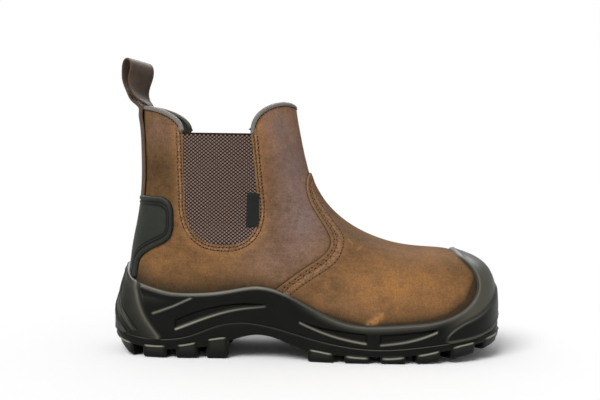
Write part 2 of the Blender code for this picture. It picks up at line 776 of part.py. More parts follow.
def bar(name, x, half_width, length, sweep):
    """Chevron bar across the tread, its point toward the toe."""
    ahead, back = x + length / 2, x - length / 2
    outline = [(back, -half_width), (ahead, -half_width), (ahead + sweep, 0), (ahead, half_width)]
    outline += [(back, half_width), (back + sweep, 0)]
    plan = np.array([(px, py, 0.0) for px, py in outline])
    root = at_height(plan, lambda at: base_height(at) + LUG_ROOT)
    foot = at_height(plan, ground_height)
    count = len(outline)
    faces = [(0, 1, 2, 5), (2, 3, 4, 5), (11, 8, 7, 6), (11, 10, 9, 8)]
    faces += [(i, (i + 1) % count, count + (i + 1) % count, count + i) for i in range(count)]
    return solid(name, np.concatenate([root, foot]), faces)


def tread_blocks():
    """Every lug and bar of the tread."""
    blocks = []
    for end, rule in (("toe", TOE_LUGS), ("heel", HEEL_LUGS)):
        for i in range(rule["count"]):
            span = np.linspace(-0.5, 0.5, LUG_STATIONS) * rule["length"] + i * rule["pitch"]
            span = span[span >= 0]
            places = span if end == "toe" else EDGE_END - span
            bands = [edge_band(places, side) for side in (0, 1)]
            if i == 0:
                whole = [np.concatenate([a[::-1], b[1:]]) for a, b in zip(*bands)]
                blocks.append(lug(f"{end}_lug_middle", *whole))
            else:
                blocks += [lug(f"{end}_lug_{i}_{side}", *bands[side]) for side in (0, 1)]
    return blocks + [bar(f"bar_{i}", **dict(zip(BAR_COLUMNS, row))) for i, row in enumerate(BARS)]


def rim_middle(x):
    return (parting_height(x) + base_height(x)) / 2


def make_outsole():
    places = edge_places()
    margin = margin_at(places)
    rings = []
    for side in (0, 1):
        edge = sole_ring(places, side, margin)
        middle = at_height(sole_ring(places, side, margin + RIM_BULGE), rim_middle)
        rings.append(np.stack([at_height(edge, parting_height), middle, at_height(edge, base_height)]))
    outsole = stack_solid("outsole", rings[0], rings[1])
    tread = collection("tread")
    for block in tread_blocks():
        CUTTERS.objects.unlink(block)
        tread.objects.link(block)
    tread.hide_render = True
    join = outsole.modifiers.new("tread", "BOOLEAN")
    join.operation = "UNION"
    join.solver = "EXACT"
    join.operand_type = "COLLECTION"
    join.collection = tread
    finish(outsole, material("tread rubber", "#1b1b18", 0.65))


def insole_bottom(x):
    return floor_height(x) + INSOLE_LIFT


def insole_top(x):
    return insole_bottom(x) + INSOLE_THICKNESS


def make_insole():
    places = edge_places()
    rings = []
    for side in (0, 1):
        ring = sole_ring(places, side, -INSOLE_INSET, INSOLE_FOOT)
        rings.append(np.stack([at_height(ring, insole_bottom), at_height(ring, insole_top)]))
    insole = stack_solid("insole", rings[0], rings[1])
    finish(insole, material("felt footbed", "#3a3733", 0.9))


def strap_sections():
    """Sections of the strap, up the back, round the loop and down inside: for each the middle line's points
    across its width, and the direction of its thickness."""
    across = np.linspace(-0.5, 0.5, STRAP_COLUMNS) * STRAP_WIDTH
    lines = []
    outward = []
    for z in STRAP_OUTSIDE_Z:
        clear = np.interp(z, STRAP_OVER_BINDING_Z, STRAP_CLEAR) + STRAP_THICKNESS / 2
        lines.append(back_line(across, z, clear))
        outward.append(back_normal(across, z))
    loop = columns_of(LOOP_COLUMNS, LOOP)
    for along, z in zip(loop["along"], loop["height"]):
        twist = np.radians(np.interp(z, LOOP_TWIST_Z, (0, LOOP_TWIST_DEG)))
        share = np.interp(z, LOOP_TWIST_Z, (1, 0))
        x = LOOP_CENTRE_X + LOOP_LEAN + along * np.cos(twist) + across * np.sin(twist)
        bow = (back_x(across, LOOP_TWIST_Z[0]) - back_x(0.0, LOOP_TWIST_Z[0])) * share
        y = across * np.cos(twist) - along * np.sin(twist)
        lines.append(np.stack([x + bow, y, np.full_like(across, z)], axis=-1))
        outward.append(None)
    for z in STRAP_INSIDE_Z:
        clear = np.interp(z, STRAP_OVER_BINDING_Z, STRAP_CLEAR) + STRAP_THICKNESS / 2
        lines.append(back_line(across, z, -WALL - clear - STRAP_INSIDE_CLEAR))
        outward.append(-back_normal(across, z))
    return np.array(lines), outward


def back_normal(across, z):
    """Outward direction of the back wall, level with the floor."""
    step = STRAP_SLOPE_STEP
    slope = (back_x(across + step, z) - back_x(across - step, z)) / (2 * step)
    normal = np.stack([-np.ones_like(across), slope, np.zeros_like(across)], axis=-1)
    return normal / np.linalg.norm(normal, axis=-1, keepdims=True)


def back_line(across, z, out):
    """Points over the strap's width on the back wall, moved this far outward."""
    wall = np.stack([back_x(across, z), across, np.full_like(across, z)], axis=-1)
    return wall + back_normal(across, z) * out


def make_pull_loop():
    lines, outward = strap_sections()
    along = np.gradient(lines, axis=0)
    across = np.gradient(lines, axis=1)
    normal = np.cross(along, across)
    normal /= np.linalg.norm(normal, axis=-1, keepdims=True)
    for i, known in enumerate(outward):
        if known is not None:
            normal[i] = known
    half = normal * STRAP_THICKNESS / 2
    loops = np.concatenate([lines + half, (lines - half)[:, ::-1]], axis=1)
    count = loops.shape[1]
    faces = grid_faces(len(loops), count, wrapped=True)
    for start in (0, (len(loops) - 1) * count):
        end = start + count - 1
        faces += [(start + i, start + i + 1, end - 1 - i, end - i) for i in range(STRAP_COLUMNS - 1)]
    strap = solid("pull_loop", loops, faces)
    finish(strap, material("strap leather", "#54422f", 0.6))


make_upper()
make_gores()
make_tag()
make_bindings()
make_counter()
make_midsole()
make_outsole()
make_insole()
make_pull_loop()
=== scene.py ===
"""Looks of the pull-on work boot for the right foot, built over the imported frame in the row's own axes.

Frame: +X to the toe, -Y to the outer side of the foot, +Z up, with the origin on the floor under the middle.
Named sizes are in millimetres, and MM turns them into the scene's metres. Side 0 is the foot's outer side and
side 1 its inner side. The side view is the XZ plane.
"""

import bmesh
import bpy
import numpy as np
from mathutils import Matrix


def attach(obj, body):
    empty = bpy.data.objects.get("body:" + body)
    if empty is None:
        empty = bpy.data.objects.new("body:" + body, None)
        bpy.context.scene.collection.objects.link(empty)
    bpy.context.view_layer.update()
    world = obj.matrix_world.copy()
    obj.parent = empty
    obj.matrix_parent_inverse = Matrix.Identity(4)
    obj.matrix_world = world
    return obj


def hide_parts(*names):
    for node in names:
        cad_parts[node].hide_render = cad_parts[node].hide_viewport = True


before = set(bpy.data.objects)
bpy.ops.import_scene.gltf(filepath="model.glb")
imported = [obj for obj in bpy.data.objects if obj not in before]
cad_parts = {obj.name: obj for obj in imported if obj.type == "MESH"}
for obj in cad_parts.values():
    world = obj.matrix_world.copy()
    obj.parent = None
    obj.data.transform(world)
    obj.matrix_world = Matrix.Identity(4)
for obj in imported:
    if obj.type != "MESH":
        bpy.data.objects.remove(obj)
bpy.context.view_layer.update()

MM = 0.001
WALL = 2.4
BISECTIONS = 22
MERGE = 0.02
PANEL_MERGE = 0.04
SLIVER = 0.001
SLOPE_STEP = 0.5

# The last, as the part's own source gives it
TOE_X = 149.0
TOE_Y = 6.0
TOE_DOME_X = 100.0
TOE_DOME_HEIGHT_POWER = 2.6
TOE_DOME_WIDTH_POWER = 2.4
HEEL_X = -139.5
HEEL_CENTRE_X = -104.0
HEEL_POWER = 2.1
# Height of the foot's bed over x
FLOOR = (
    (-140, 36.0), (-50, 36.0), (-15, 33.5), (15, 27.5), (45, 22.7), (75, 21.0), (110, 22.6), (150, 27.5),
)
PLAN_COLUMNS = ("x", "outer", "inner")
PLAN = (
    (-105, 33.0, 33.0),
    (-75, 33.5, 31.5),
    (-45, 35.0, 30.0),
    (-15, 39.0, 32.0),
    (15, 45.0, 39.0),
    (42, 47.5, 44.5),
    (68, 47.0, 47.5),
    (100, 43.0, 46.5),
    (149, 35.0, 42.0),
)
SECTION_COLUMNS = (
    "top_x", "top_z", "seat_x", "seat_z", "outer", "inner", "widest", "low_round", "high_round", "ridge_y",
)
SECTIONS = (
    (149, 80.0, 149, 25.0, 38.0, 45.0, 0.30, 2.2, 2.5, 6.0),
    (124, 81.0, 124, 23.0, 42.5, 47.5, 0.30, 2.2, 2.5, 5.5),
    (100, 82.0, 100, 21.5, 46.0, 49.5, 0.29, 2.2, 2.5, 5.0),
    (75, 84.5, 75, 21.0, 49.5, 50.5, 0.27, 2.2, 2.4, 4.0),
    (50, 92.0, 46, 22.5, 50.5, 48.0, 0.25, 2.2, 2.2, 3.0),
    (33, 101.0, 14, 27.7, 48.0, 42.5, 0.25, 2.1, 2.1, 2.0),
    (22, 109.5, -18, 33.8, 43.5, 38.0, 0.30, 2.1, 2.0, 1.0),
    (13.5, 118.5, -52, 36.0, 40.0, 36.5, 0.35, 2.1, 2.0, 0.5),
    (7.5, 127.5, -86, 36.0, 38.5, 36.5, 0.40, 2.1, 2.0, 0.0),
    (4, 134.0, -112, 36.0, 38.0, 36.5, 0.43, 2.2, 2.0, 0.0),
    (2, 139.0, -130, 36.0, 37.5, 36.5, 0.45, 2.5, 2.0, 0.0),
    (0.5, 143.0, -139.5, 36.0, 37.5, 36.5, 0.47, 3.0, 2.0, 0.0),
    (-0.8, 147.5, -141, 58.0, 37.5, 36.5, 0.48, 2.65, 2.0, 0.0),
    (-2.4, 153.5, -138.3, 82.0, 37.3, 36.5, 0.49, 2.35, 2.0, 0.0),
    (-4.2, 161.0, -134, 106.0, 37.0, 36.5, 0.50, 2.15, 2.0, 0.0),
    (-6.2, 170.5, -131.4, 130.0, 37.0, 36.5, 0.50, 2.0, 2.0, 0.0),
    (-8.2, 180.5, -131.2, 153.0, 37.0, 36.5, 0.50, 2.0, 2.0, 0.0),
    (-10, 191.0, -132.3, 178.0, 37.0, 36.5, 0.50, 2.0, 2.0, 0.0),
    (-12, 206.0, -133.6, 206.0, 37.0, 36.5, 0.50, 2.0, 2.0, 0.0),
)
HEEL_ROW = 11

# The sole's edge, as the part's own source gives it: places are millimetres round the edge, toe to heel
TOE_CENTRE = (80.0, 4.0)
TOE_TURN = 95.0
HEEL_TURN = 279.0
EDGE_END = 337.0
TUCK_RISE = 12.0
RAY_REACH = 140.0
EDGE_COLUMNS = ("place", "lip", "swing", "margin")
EDGE = (
    (0, 61.0, 0.0, 5.0),
    (21, 50.0, 11.0, 5.0),
    (28, 43.0, 6.0, 5.2),
    (40, 31.0, -3.0, 5.5),
    (58, 18.8, -7.0, 6.0),
    (72, 13.5, -5.0, 6.3),
    (95, 10.4, 0.0, 6.0),
    (118, 8.1, 0.0, 5.0),
    (141, 6.8, 0.0, 5.0),
    (163, 10.8, 0.0, 5.2),
    (186, 19.6, 0.0, 4.8),
    (214, 26.9, 0.0, 4.0),
    (236, 23.3, 0.0, 4.0),
    (257, 20.5, 0.0, 5.0),
    (279, 21.3, 0.0, 6.0),
    (302, 26.6, 0.0, 8.5),
    (312, 29.0, 0.0, 10.0),
    (321, 35.0, 0.0, 11.0),
    (337, 43.0, 0.0, 11.8),
)
SWING_POWER = 1.5
WALL_FOOT = 4.0
LIP_THICKNESS = 2.6
LIP_SINK = 2.0
LIP_BEAD = 0.9
# Heights over x: where midsole and outsole part, and the outsole's underside between the lugs
PARTING = (
    (-154, 19.0), (-113, 14.8), (-90, 18.0), (-69, 26.0), (-46, 28.4), (-12, 22.0), (20, 14.5), (52, 11.0),
    (85, 13.0), (125, 17.5), (154, 21.5),
)
BASE = (
    (-154, 13.0), (-130, 8.6), (-78, 9.0), (-62, 13.0), (-40, 19.0), (-20, 15.5), (-2, 8.5), (20, 6.0),
    (60, 5.4), (85, 7.0), (125, 12.5), (154, 16.5),
)
TOE_SPRING = {"x": 70.0, "rise": 12.0, "run": 80.0}
HEEL_BEVEL = {"x": -132.0, "rise": 8.0, "run": 20.0}

# Collar and gore window in the side view: arcs of superellipses
GORE_TOP_Z = 173.5
REAR_TAB = {"start_x": -96.8, "run": 39.2, "rise": 20.3, "power": 2.0}
FRONT_TAB = {"start_x": -44.8, "run": 31.0, "rise": 24.6, "power": 2.2}
FRONT_CORNER = {"start_x": -22.0, "run": 12.0, "drop": 4.0, "power": 2.0}
WINDOW_BEND_Z = 120.0
WINDOW_BEND_RUN = 32.5
WINDOW_POWER = 2.45
WINDOW_BOTTOM_Z = WINDOW_BEND_Z - WINDOW_BEND_RUN
# Half width and middle of the window over height
WINDOW_HALF = ((WINDOW_BEND_Z, 28.3), (174.0, 26.4))
WINDOW_MIDDLE = ((WINDOW_BOTTOM_Z, -65.2), (WINDOW_BEND_Z, -67.2), (174.0, -71.2))

# Vamp edge in the side view, from the sole up to the ridge
SEAM = (
    (-39, 38.0), (-30.5, 48.5), (-23.5, 54.5), (-13.5, 62.6), (2, 73.4), (12.2, 80.6), (17, 87), (17.6, 92),
    (13.2, 101.0), (7.5, 109.4), (1.5, 121.0), (-1.6, 135.0),
)
SEAM_TOP_Z = 142.5
RIDGE_CLIMB_SHARE = 0.375
VAMP_THICKNESS = 1.4
VAMP_TUCK = 9.0
# Width of the painted shadow on the quarter beside the vamp's edge
SEAM_SHADE = 1.7

# Strokes in the side view: x0, z0, x1, z1, half width and amount. Soft hollows and ridges of the worn leather
CREASES = (
    (-14, 60, 22, 47, 4.5, 0.7),
    (0, 63, 34, 50, 4.0, -0.5),
    (12, 64, 44, 47, 4.5, 0.55),
    (-2, 118, -28, 96, 9.0, 0.9),
    (6, 104, -24, 84, 8.0, -0.5),
    (-120, 140, -101, 128, 6.0, 0.5),
    (-96, 78, -66, 70, 8.0, 0.5),
    (30, 84, 46, 70, 7.0, 0.6),
    (64, 74, 78, 56, 9.0, 0.5),
)
INNER_CREASE_SHARE = 0.7
# Strokes again: bare light marks where the leather was rubbed
SCUFFS = (
    (47, 30, 55, 36, 2.6, 1.0),
    (52, 31, 57, 38, 1.3, 0.9),
    (31, 91, 34, 88, 0.8, 0.6),
    (38, 84, 41, 86, 0.7, 0.5),
)

# Tone of the leather: x, z, half width, half height, then how tan, how plum and how dark it turns
SPOTS = (
    (-116, 176, 16, 16, 0.05, 0.35, 0.05),
    (-114, 142, 18, 30, -0.30, 0.00, 0.45),
    (-104, 176, 6, 14, 0.25, 0.00, 0.00),
    (-70, 72, 40, 12, 0.34, 0.00, 0.05),
    (-120, 74, 16, 10, 0.15, 0.00, 0.15),
    (-24, 182, 14, 18, 1.20, 0.85, 0.00),
    (-12, 150, 16, 26, 0.15, 0.95, 0.00),
    (-4, 106, 22, 26, -0.05, 0.95, 0.05),
    (-30, 74, 26, 16, 0.10, 0.45, 0.05),
    (34, 96, 20, 10, -0.05, 0.00, 0.22),
    (60, 84, 26, 9, 0.15, 0.00, 0.24),
    (66, 58, 30, 18, 0.58, 0.00, 0.00),
    (104, 70, 18, 12, 0.32, 0.00, 0.22),
    (108, 44, 22, 12, 0.35, 0.00, 0.10),
    (30, 44, 34, 12, 0.20, 0.20, 0.12),
)
# The sole's top edge in the side view, with a band of painted shade over it: x, how dark and how wide, and a
# fine line of painted shadow where the leather meets the sole
SOLE_LINE = (
    (-150, 66.0), (-131.6, 56.8), (-115.4, 50.9), (-93.6, 48.0), (-72, 49.2), (-50, 52.8), (-36, 53.9),
    (-22, 51.7), (0, 42.0), (12, 36.1), (30, 31.4), (41, 28.8), (58, 28.9), (74, 29.8), (94, 32.1),
    (107, 35.9), (120, 44.7), (128, 60.0), (140, 80.0),
)
SOLE_SHADE_BAND = ((-60, 1.2, 12.0), (0, 0.8, 7.0))
SOLE_SHADE_LINE = {"dark": 0.8, "width": 1.8}
WINDOW_HALO = {"away": 5.0, "width": 4.5, "tan": 0.32}

# Stitch rows: distances from the window's edge, then rows of the vamp as distance from its edge, pitch,
# groove width and share of the groove's depth
WINDOW_ROWS = (1.9, 4.5)
WINDOW_PITCH = 2.8
VAMP_ROWS = ((2.6, 2.6, 0.5, 1.0), (4.4, 2.6, 0.5, 1.0), (9.6, 3.0, 0.55, 0.7))


class Spline:
    """Natural cubic through the rows of a table, held at its end values outside them."""

    def __init__(self, knots, rows):
        self.knots = np.asarray(knots, float)
        self.rows = np.asarray(rows, float)
        self.step = np.diff(self.knots)
        slope = np.diff(self.rows, axis=0) / self.step[:, None]
        inside = np.arange(1, len(self.knots) - 1)
        matrix = np.eye(len(self.knots))
        matrix[inside, inside - 1] = self.step[:-1]
        matrix[inside, inside] = 2 * (self.step[:-1] + self.step[1:])
        matrix[inside, inside + 1] = self.step[1:]
        right = np.zeros_like(self.rows)
        right[1:-1] = 6 * np.diff(slope, axis=0)
        self.bend = np.linalg.solve(matrix, right)

    def __call__(self, at):
        held = np.clip(at, self.knots[0], self.knots[-1])
        i = np.clip(np.searchsorted(self.knots, held, side="right") - 1, 0, len(self.step) - 1)
        step = self.step[i]
        b = (held - self.knots[i]) / step
        a = 1 - b
        curl = (a**3 - a)[..., None] * self.bend[i] + (b**3 - b)[..., None] * self.bend[i + 1]
        return a[..., None] * self.rows[i] + b[..., None] * self.rows[i + 1] + curl * (step**2 / 6)[..., None]


def curve_of(names, table):
    """Spline over a table whose first column is the knot: from knots to its other columns by name."""
    rows = np.array(table, float)
    spline = Spline(rows[:, 0], rows[:, 1:])
    return lambda at: dict(zip(names[1:], np.moveaxis(spline(np.asarray(at, float)), -1, 0)))


def line_through(points):
    """Smooth line through points: a function from their first coordinate to their second."""
    curve = curve_of(("at", "value"), points)
    return lambda at: curve(at)["value"]


def refined(grid, rows, fine_rows, columns, fine_columns):
    """A coarse grid's values on a finer one: splines down its columns, then along its rows."""
    tall = Spline(rows, grid.reshape(len(rows), -1))(fine_rows).reshape(len(fine_rows), len(columns), -1)
    wide = Spline(columns, np.moveaxis(tall, 1, 0).reshape(len(columns), -1))(fine_columns)
    return np.moveaxis(wide.reshape(len(fine_columns), len(fine_rows), -1), 0, 1)


def bisected(shape, low, high, is_low):
    """Where is_low turns from true to false between two values, for an array of this shape at once."""
    low, high = np.full(shape, float(low)), np.full(shape, float(high))
    for _ in range(BISECTIONS):
        middle = (low + high) / 2
        stays = is_low(middle)
        low = np.where(stays, middle, low)
        high = np.where(stays, high, middle)
    return (low + high) / 2


def dome(distance, length, power):
    """One at distance 0, falling as a superellipse to nought at length."""
    share = np.clip(distance / length, 0, 1)
    return (1 - share**power) ** (1 / power)


def ease(low, high, value):
    """Nought below low, one above high, with a smooth cubic rise between."""
    share = np.clip((value - low) / (high - low), 0, 1)
    return share * share * (3 - 2 * share)


def rolled(share):
    """Quarter circle: nought at 0, one from 1 on, upright at its start."""
    return np.sqrt(1 - (1 - np.clip(share, 0, 1)) ** 2)


def bell(distance, width):
    """One at distance 0, falling as a normal curve, to a third at the width."""
    return np.exp(-((distance / width) ** 2))


def unit(vectors):
    return vectors / np.maximum(np.linalg.norm(vectors, axis=-1, keepdims=True), 1e-12)


def square_to(vectors, ahead):
    """The part of vectors at right angles to unit vectors ahead."""
    return vectors - (vectors * ahead).sum(axis=-1, keepdims=True) * ahead


def run_of(path):
    """Distance along a path at each of its points."""
    return np.concatenate([[0.0], np.cumsum(np.linalg.norm(np.diff(path, axis=0), axis=1))])


def read_at(at, run, values):
    """Rows of values that lie along a path, read at distances along it."""
    return np.stack([np.interp(at, run, column) for column in values.T], axis=-1)


def evenly(path, spacing, *carried):
    """The path's points again at even spacing along it, and any values carried along it."""
    run = run_of(path)
    at = np.linspace(0, run[-1], max(int(round(run[-1] / spacing)), 2) + 1)
    return [read_at(at, run, values) for values in (path, *carried)]


def to_line(x, z, path):
    """Distance of side-view points from a path of straight pieces."""
    start, run = path[:-1], np.diff(path, axis=0)
    away_x = x[..., None] - start[:, 0]
    away_z = z[..., None] - start[:, 1]
    share = (away_x * run[:, 0] + away_z * run[:, 1]) / np.maximum((run**2).sum(axis=1), 1e-9)
    share = np.clip(share, 0, 1)
    return np.hypot(away_x - share * run[:, 0], away_z - share * run[:, 1]).min(axis=-1)


# Surface of the last

def section_knots():
    """Distance along the fan of sections: the mean of the steps of its top and seat points."""
    steps = np.diff(np.array(SECTIONS, float)[:, :4], axis=0)
    run = (np.hypot(steps[:, 0], steps[:, 1]) + np.hypot(steps[:, 2], steps[:, 3])) / 2
    return np.concatenate([[0.0], np.cumsum(run)])


SECTION_KNOTS = section_knots()
SECTION_CURVE = Spline(SECTION_KNOTS, SECTIONS)
PLAN_CURVE = curve_of(PLAN_COLUMNS, PLAN)
EDGE_CURVE = curve_of(EDGE_COLUMNS, EDGE)
COLLAR_S = SECTION_KNOTS[-1]
HEEL_S = SECTION_KNOTS[HEEL_ROW]
floor_height = line_through(FLOOR)
parting_height = line_through(PARTING)
base_height = line_through(BASE)


def ground_height(x):
    """Lowest reach of the tread: flat, with a toe spring and a bevel at the back, both parabolas."""
    spring = TOE_SPRING["rise"] * (np.maximum(x - TOE_SPRING["x"], 0) / TOE_SPRING["run"]) ** 2
    bevel = HEEL_BEVEL["rise"] * (np.maximum(HEEL_BEVEL["x"] - x, 0) / HEEL_BEVEL["run"]) ** 2
    return spring + bevel


def section(s):
    """Shape of the last's section at distance s along the fan, as a dictionary of arrays."""
    row = dict(zip(SECTION_COLUMNS, np.moveaxis(SECTION_CURVE(np.asarray(s, float)), -1, 0)))
    on_floor = s <= HEEL_S
    seat_x = row["seat_x"]
    row["seat_z"] = np.where(on_floor, floor_height(seat_x), row["seat_z"])
    run = TOE_X - TOE_DOME_X
    tall = dome(seat_x - TOE_DOME_X, run, TOE_DOME_HEIGHT_POWER)
    wide = dome(seat_x - TOE_DOME_X, run, TOE_DOME_WIDTH_POWER)
    row["top_z"] = row["seat_z"] + (row["top_z"] - row["seat_z"]) * tall
    back = dome(HEEL_CENTRE_X - seat_x, HEEL_CENTRE_X - HEEL_X, HEEL_POWER)
    plan = PLAN_CURVE(seat_x)
    close = np.where(on_floor, back, 0.0) * wide
    shift = TOE_Y * (1 - wide)
    row["wide"] = (shift - row["outer"] * wide, shift + row["inner"] * wide)
    row["edge"] = (shift - plan["outer"] * close, shift + plan["inner"] * close)
    return row


def side_y(row, t, side):
    """Y of the section's outer or inner half at share t of the way from seat to top."""
    wide, edge, widest, ridge = row["wide"][side], row["edge"][side], row["widest"], row["ridge_y"]
    low_round, high_round = row["low_round"], row["high_round"]
    low = (1 - np.clip(1 - t / widest, 0, 1) ** low_round) ** (1 / low_round)
    high = (1 - np.clip((t - widest) / (1 - widest), 0, 1) ** high_round) ** (1 / high_round)
    return np.where(t < widest, edge + (wide - edge) * low, ridge + (wide - ridge) * high)


def section_through(x, z):
    """Distance s of the section plane through side-view points, its shape, and the points' share t."""

    def is_before(s):
        row = section(s)
        turn = (row["top_x"] - row["seat_x"]) * (z - row["seat_z"])
        return turn >= (row["top_z"] - row["seat_z"]) * (x - row["seat_x"])

    s = bisected(np.shape(x), 0.0, COLLAR_S, is_before)
    row = section(s)
    along_x, along_z = row["top_x"] - row["seat_x"], row["top_z"] - row["seat_z"]
    length = np.maximum(along_x**2 + along_z**2, 1e-9)
    t = ((x - row["seat_x"]) * along_x + (z - row["seat_z"]) * along_z) / length
    return s, row, t


def is_inside(x, y, z, rise):
    """True within the last's surface, filled straight down from this rise above its foot."""
    _, row, t = section_through(x, np.maximum(z, floor_height(x) + rise))
    within = (y >= side_y(row, t, 0)) & (y <= side_y(row, t, 1))
    return within & (t >= 0) & (t <= 1) & (x <= TOE_X)


def depth(x, z, side):
    """Y of the last's surface under side-view points."""
    _, row, t = section_through(x, z)
    return side_y(row, np.clip(t, 0, 1), side)


def on_side(x, z, side, out=0.0):
    """Points of the last's surface under side-view points, moved out along its normal, and those normals."""
    step = SLOPE_STEP
    slope_x = (depth(x + step, z, side) - depth(x - step, z, side)) / (2 * step)
    slope_z = (depth(x, z + step, side) - depth(x, z - step, side)) / (2 * step)
    turn = 1 if side == 0 else -1
    normal = unit(np.stack([turn * slope_x, np.full_like(slope_x, -turn), turn * slope_z], axis=-1))
    points = np.stack([x, depth(x, z, side), z], axis=-1)
    return points + normal * np.asarray(out)[..., None], normal


SHARE_S = np.linspace(0.5, COLLAR_S, 181)
SHARES = np.linspace(0, 1, 41)


def share_table(side):
    """Share t at even shares of each half-section's length (columns) for even distances s (rows)."""
    row = section(SHARE_S[:, None])
    quarter = np.linspace(0, np.pi / 2, 50)
    widest = row["widest"]
    low_t = widest * (1 - np.cos(quarter) ** (2 / row["low_round"]))
    high_t = widest + (1 - widest) * np.sin(quarter) ** (2 / row["high_round"])
    t = np.concatenate([low_t, high_t[:, 1:]], axis=1)
    x = row["seat_x"] + (row["top_x"] - row["seat_x"]) * t
    z = row["seat_z"] + (row["top_z"] - row["seat_z"]) * t
    steps = np.linalg.norm(np.diff(np.stack([x, side_y(row, t, side), z], axis=-1), axis=1), axis=-1)
    length = np.concatenate([np.zeros((len(t), 1)), np.cumsum(steps, axis=1)], axis=1)
    return np.array([np.interp(SHARES * run[-1], run, one) for run, one in zip(length, t)])


SHARE_TABLES = (share_table(0), share_table(1))


def t_at(s, share, side):
    """Share t of the height at a share of the half-section's length, read between the table's entries."""
    table = SHARE_TABLES[side]
    a = np.clip((s - SHARE_S[0]) / (SHARE_S[1] - SHARE_S[0]), 0, len(SHARE_S) - 1.001)
    b = np.clip(share * (len(SHARES) - 1), 0, len(SHARES) - 1.001)
    i, j = a.astype(int), b.astype(int)
    u, v = a - i, b - j
    low = (1 - v) * table[i, j] + v * table[i, j + 1]
    high = (1 - v) * table[i + 1, j] + v * table[i + 1, j + 1]
    return (1 - u) * low + u * high


def share_of(s, t, side):
    """Share of the half-section's length at share t of its height, for one section after another."""
    rows = [t_at(np.full(len(SHARES), one), SHARES, side) for one in s]
    return np.array([np.interp(at, row, SHARES) for at, row in zip(t, rows)])


def skin(s, share, side):
    """Point of the last at distance s along the fan and a share of the way from its foot to its ridge."""
    row = section(s)
    t = np.where(share >= 1, 1.0, t_at(s, share, side))
    x = row["seat_x"] + (row["top_x"] - row["seat_x"]) * t
    z = row["seat_z"] + (row["top_z"] - row["seat_z"]) * t
    return np.stack([x, side_y(row, t, side), z], axis=-1)


def out_of(grid, side):
    """Unit normals out of the foot on a grid whose rows run toe to heel and columns foot to ridge."""
    turn = 1 if side == 0 else -1
    return unit(np.cross(np.gradient(grid, axis=1), np.gradient(grid, axis=0)) * turn)


# Outlines and tones in the side view

def collar_height(x):
    """Height of the collar's edge in the side view: two rounded tabs with the gore's straight top between."""
    rear = dome(REAR_TAB["run"] - REAR_TAB["start_x"] + x, REAR_TAB["run"], REAR_TAB["power"])
    front = dome(FRONT_TAB["run"] + FRONT_TAB["start_x"] - x, FRONT_TAB["run"], FRONT_TAB["power"])
    corner = dome(x - FRONT_CORNER["start_x"], FRONT_CORNER["run"], FRONT_CORNER["power"])
    fall = FRONT_CORNER["drop"] * (1 - corner)
    return GORE_TOP_Z + REAR_TAB["rise"] * rear + FRONT_TAB["rise"] * front - fall


def window_edge(z, end):
    """X of the gore window's rear (-1) or front (1) edge: a straight taper that closes as a superellipse."""
    half = np.interp(z, *zip(*WINDOW_HALF)) * dome(WINDOW_BEND_Z - z, WINDOW_BEND_RUN, WINDOW_POWER)
    return np.interp(z, *zip(*WINDOW_MIDDLE)) + end * half


def window_path(out):
    """Side-view path round the gore window from its rear top to its front top, moved outward."""
    angle = np.linspace(0, np.pi / 2, 80)
    bend = WINDOW_BEND_Z - WINDOW_BEND_RUN * np.sin(angle) ** (2 / WINDOW_POWER)
    z = np.concatenate([np.linspace(GORE_TOP_Z + 1.5, WINDOW_BEND_Z, 40)[:-1], bend])
    rear, front = (np.stack([window_edge(z, end), z], axis=-1) for end in (-1, 1))
    (path,) = evenly(np.concatenate([rear, front[-2::-1]]), 0.7)
    ahead = unit(np.gradient(path, axis=0))
    return path + out * np.stack([ahead[:, 1], -ahead[:, 0]], axis=-1)


WINDOW = window_path(0.0)


def strokes(x, z, table):
    """For each stroke of a table its amount times a bell across its line, fading past its ends."""
    marks = []
    for x0, z0, x1, z1, width, amount in table:
        line = np.array([(x0, z0), (x1, z1)], float)
        marks.append(amount * bell(to_line(x, z, line), width))
    return np.array(marks)


def creased(x, z, side):
    """How far the leather stands out at the listed hollows and ridges: the sum of their strokes."""
    return -strokes(x, z, CREASES).sum(axis=0) * (1.0 if side == 0 else INNER_CREASE_SHARE)


def leather_marks(x, z, edge, groove, pucker, tan=0.0, plum=1.0):
    """Vertex values of the leather: tan, plum and dark as sums of soft spots, darker over the sole as painted
    shade and more tan round the window, with the scuffs, the panel's own edge, painted shade in its grooves
    and puckers."""
    tone = np.zeros(x.shape + (3,))
    for spot_x, spot_z, wide, tall, *tints in SPOTS:
        tone += (bell(x - spot_x, wide) * bell(z - spot_z, tall))[..., None] * np.array(tints)
    # Painted shade over the sole: a broad dark band and a fine dark line just above the sole's edge.
    above = np.maximum(z - np.interp(x, *zip(*SOLE_LINE)), 0)
    sole_shade_x, sole_shade_dark, sole_shade_width = zip(*SOLE_SHADE_BAND)
    band = np.interp(x, sole_shade_x, sole_shade_dark) * bell(above, np.interp(x, sole_shade_x, sole_shade_width))
    line = SOLE_SHADE_LINE["dark"] * bell(above, SOLE_SHADE_LINE["width"])
    halo = WINDOW_HALO["tan"] * bell(to_line(x, z, WINDOW) - WINDOW_HALO["away"], WINDOW_HALO["width"])
    return {
        "tan": tone[..., 0] + halo + tan, "plum": tone[..., 1] * plum, "dark": tone[..., 2] + band + line,
        "scuff": strokes(x, z, SCUFFS).max(axis=0), "edge": edge, "groove": groove, "pucker": pucker,
    }


# Meshes from shapes: points on a grid, quads and vertex values

def grid_quads(rows, columns, wrapped=False, flipped=False):
    """Quads of a grid whose points run row by row, its last column joined to the first when wrapped."""
    index = np.arange(rows * columns).reshape(rows, columns)
    if wrapped:
        index = np.concatenate([index, index[:, :1]], axis=1)
    corners = (index[:-1, :-1], index[:-1, 1:], index[1:, 1:], index[1:, :-1])
    quads = np.stack(corners, axis=-1).reshape(-1, 4)
    return quads[:, ::-1] if flipped else quads


def end_quads(count):
    """Quads that close a ring of an even count of points: a strip that runs from side to side across it."""
    i = np.arange(count // 2 - 1)
    return np.stack([(count - i) % count, i + 1, i + 2, count - i - 1], axis=-1)


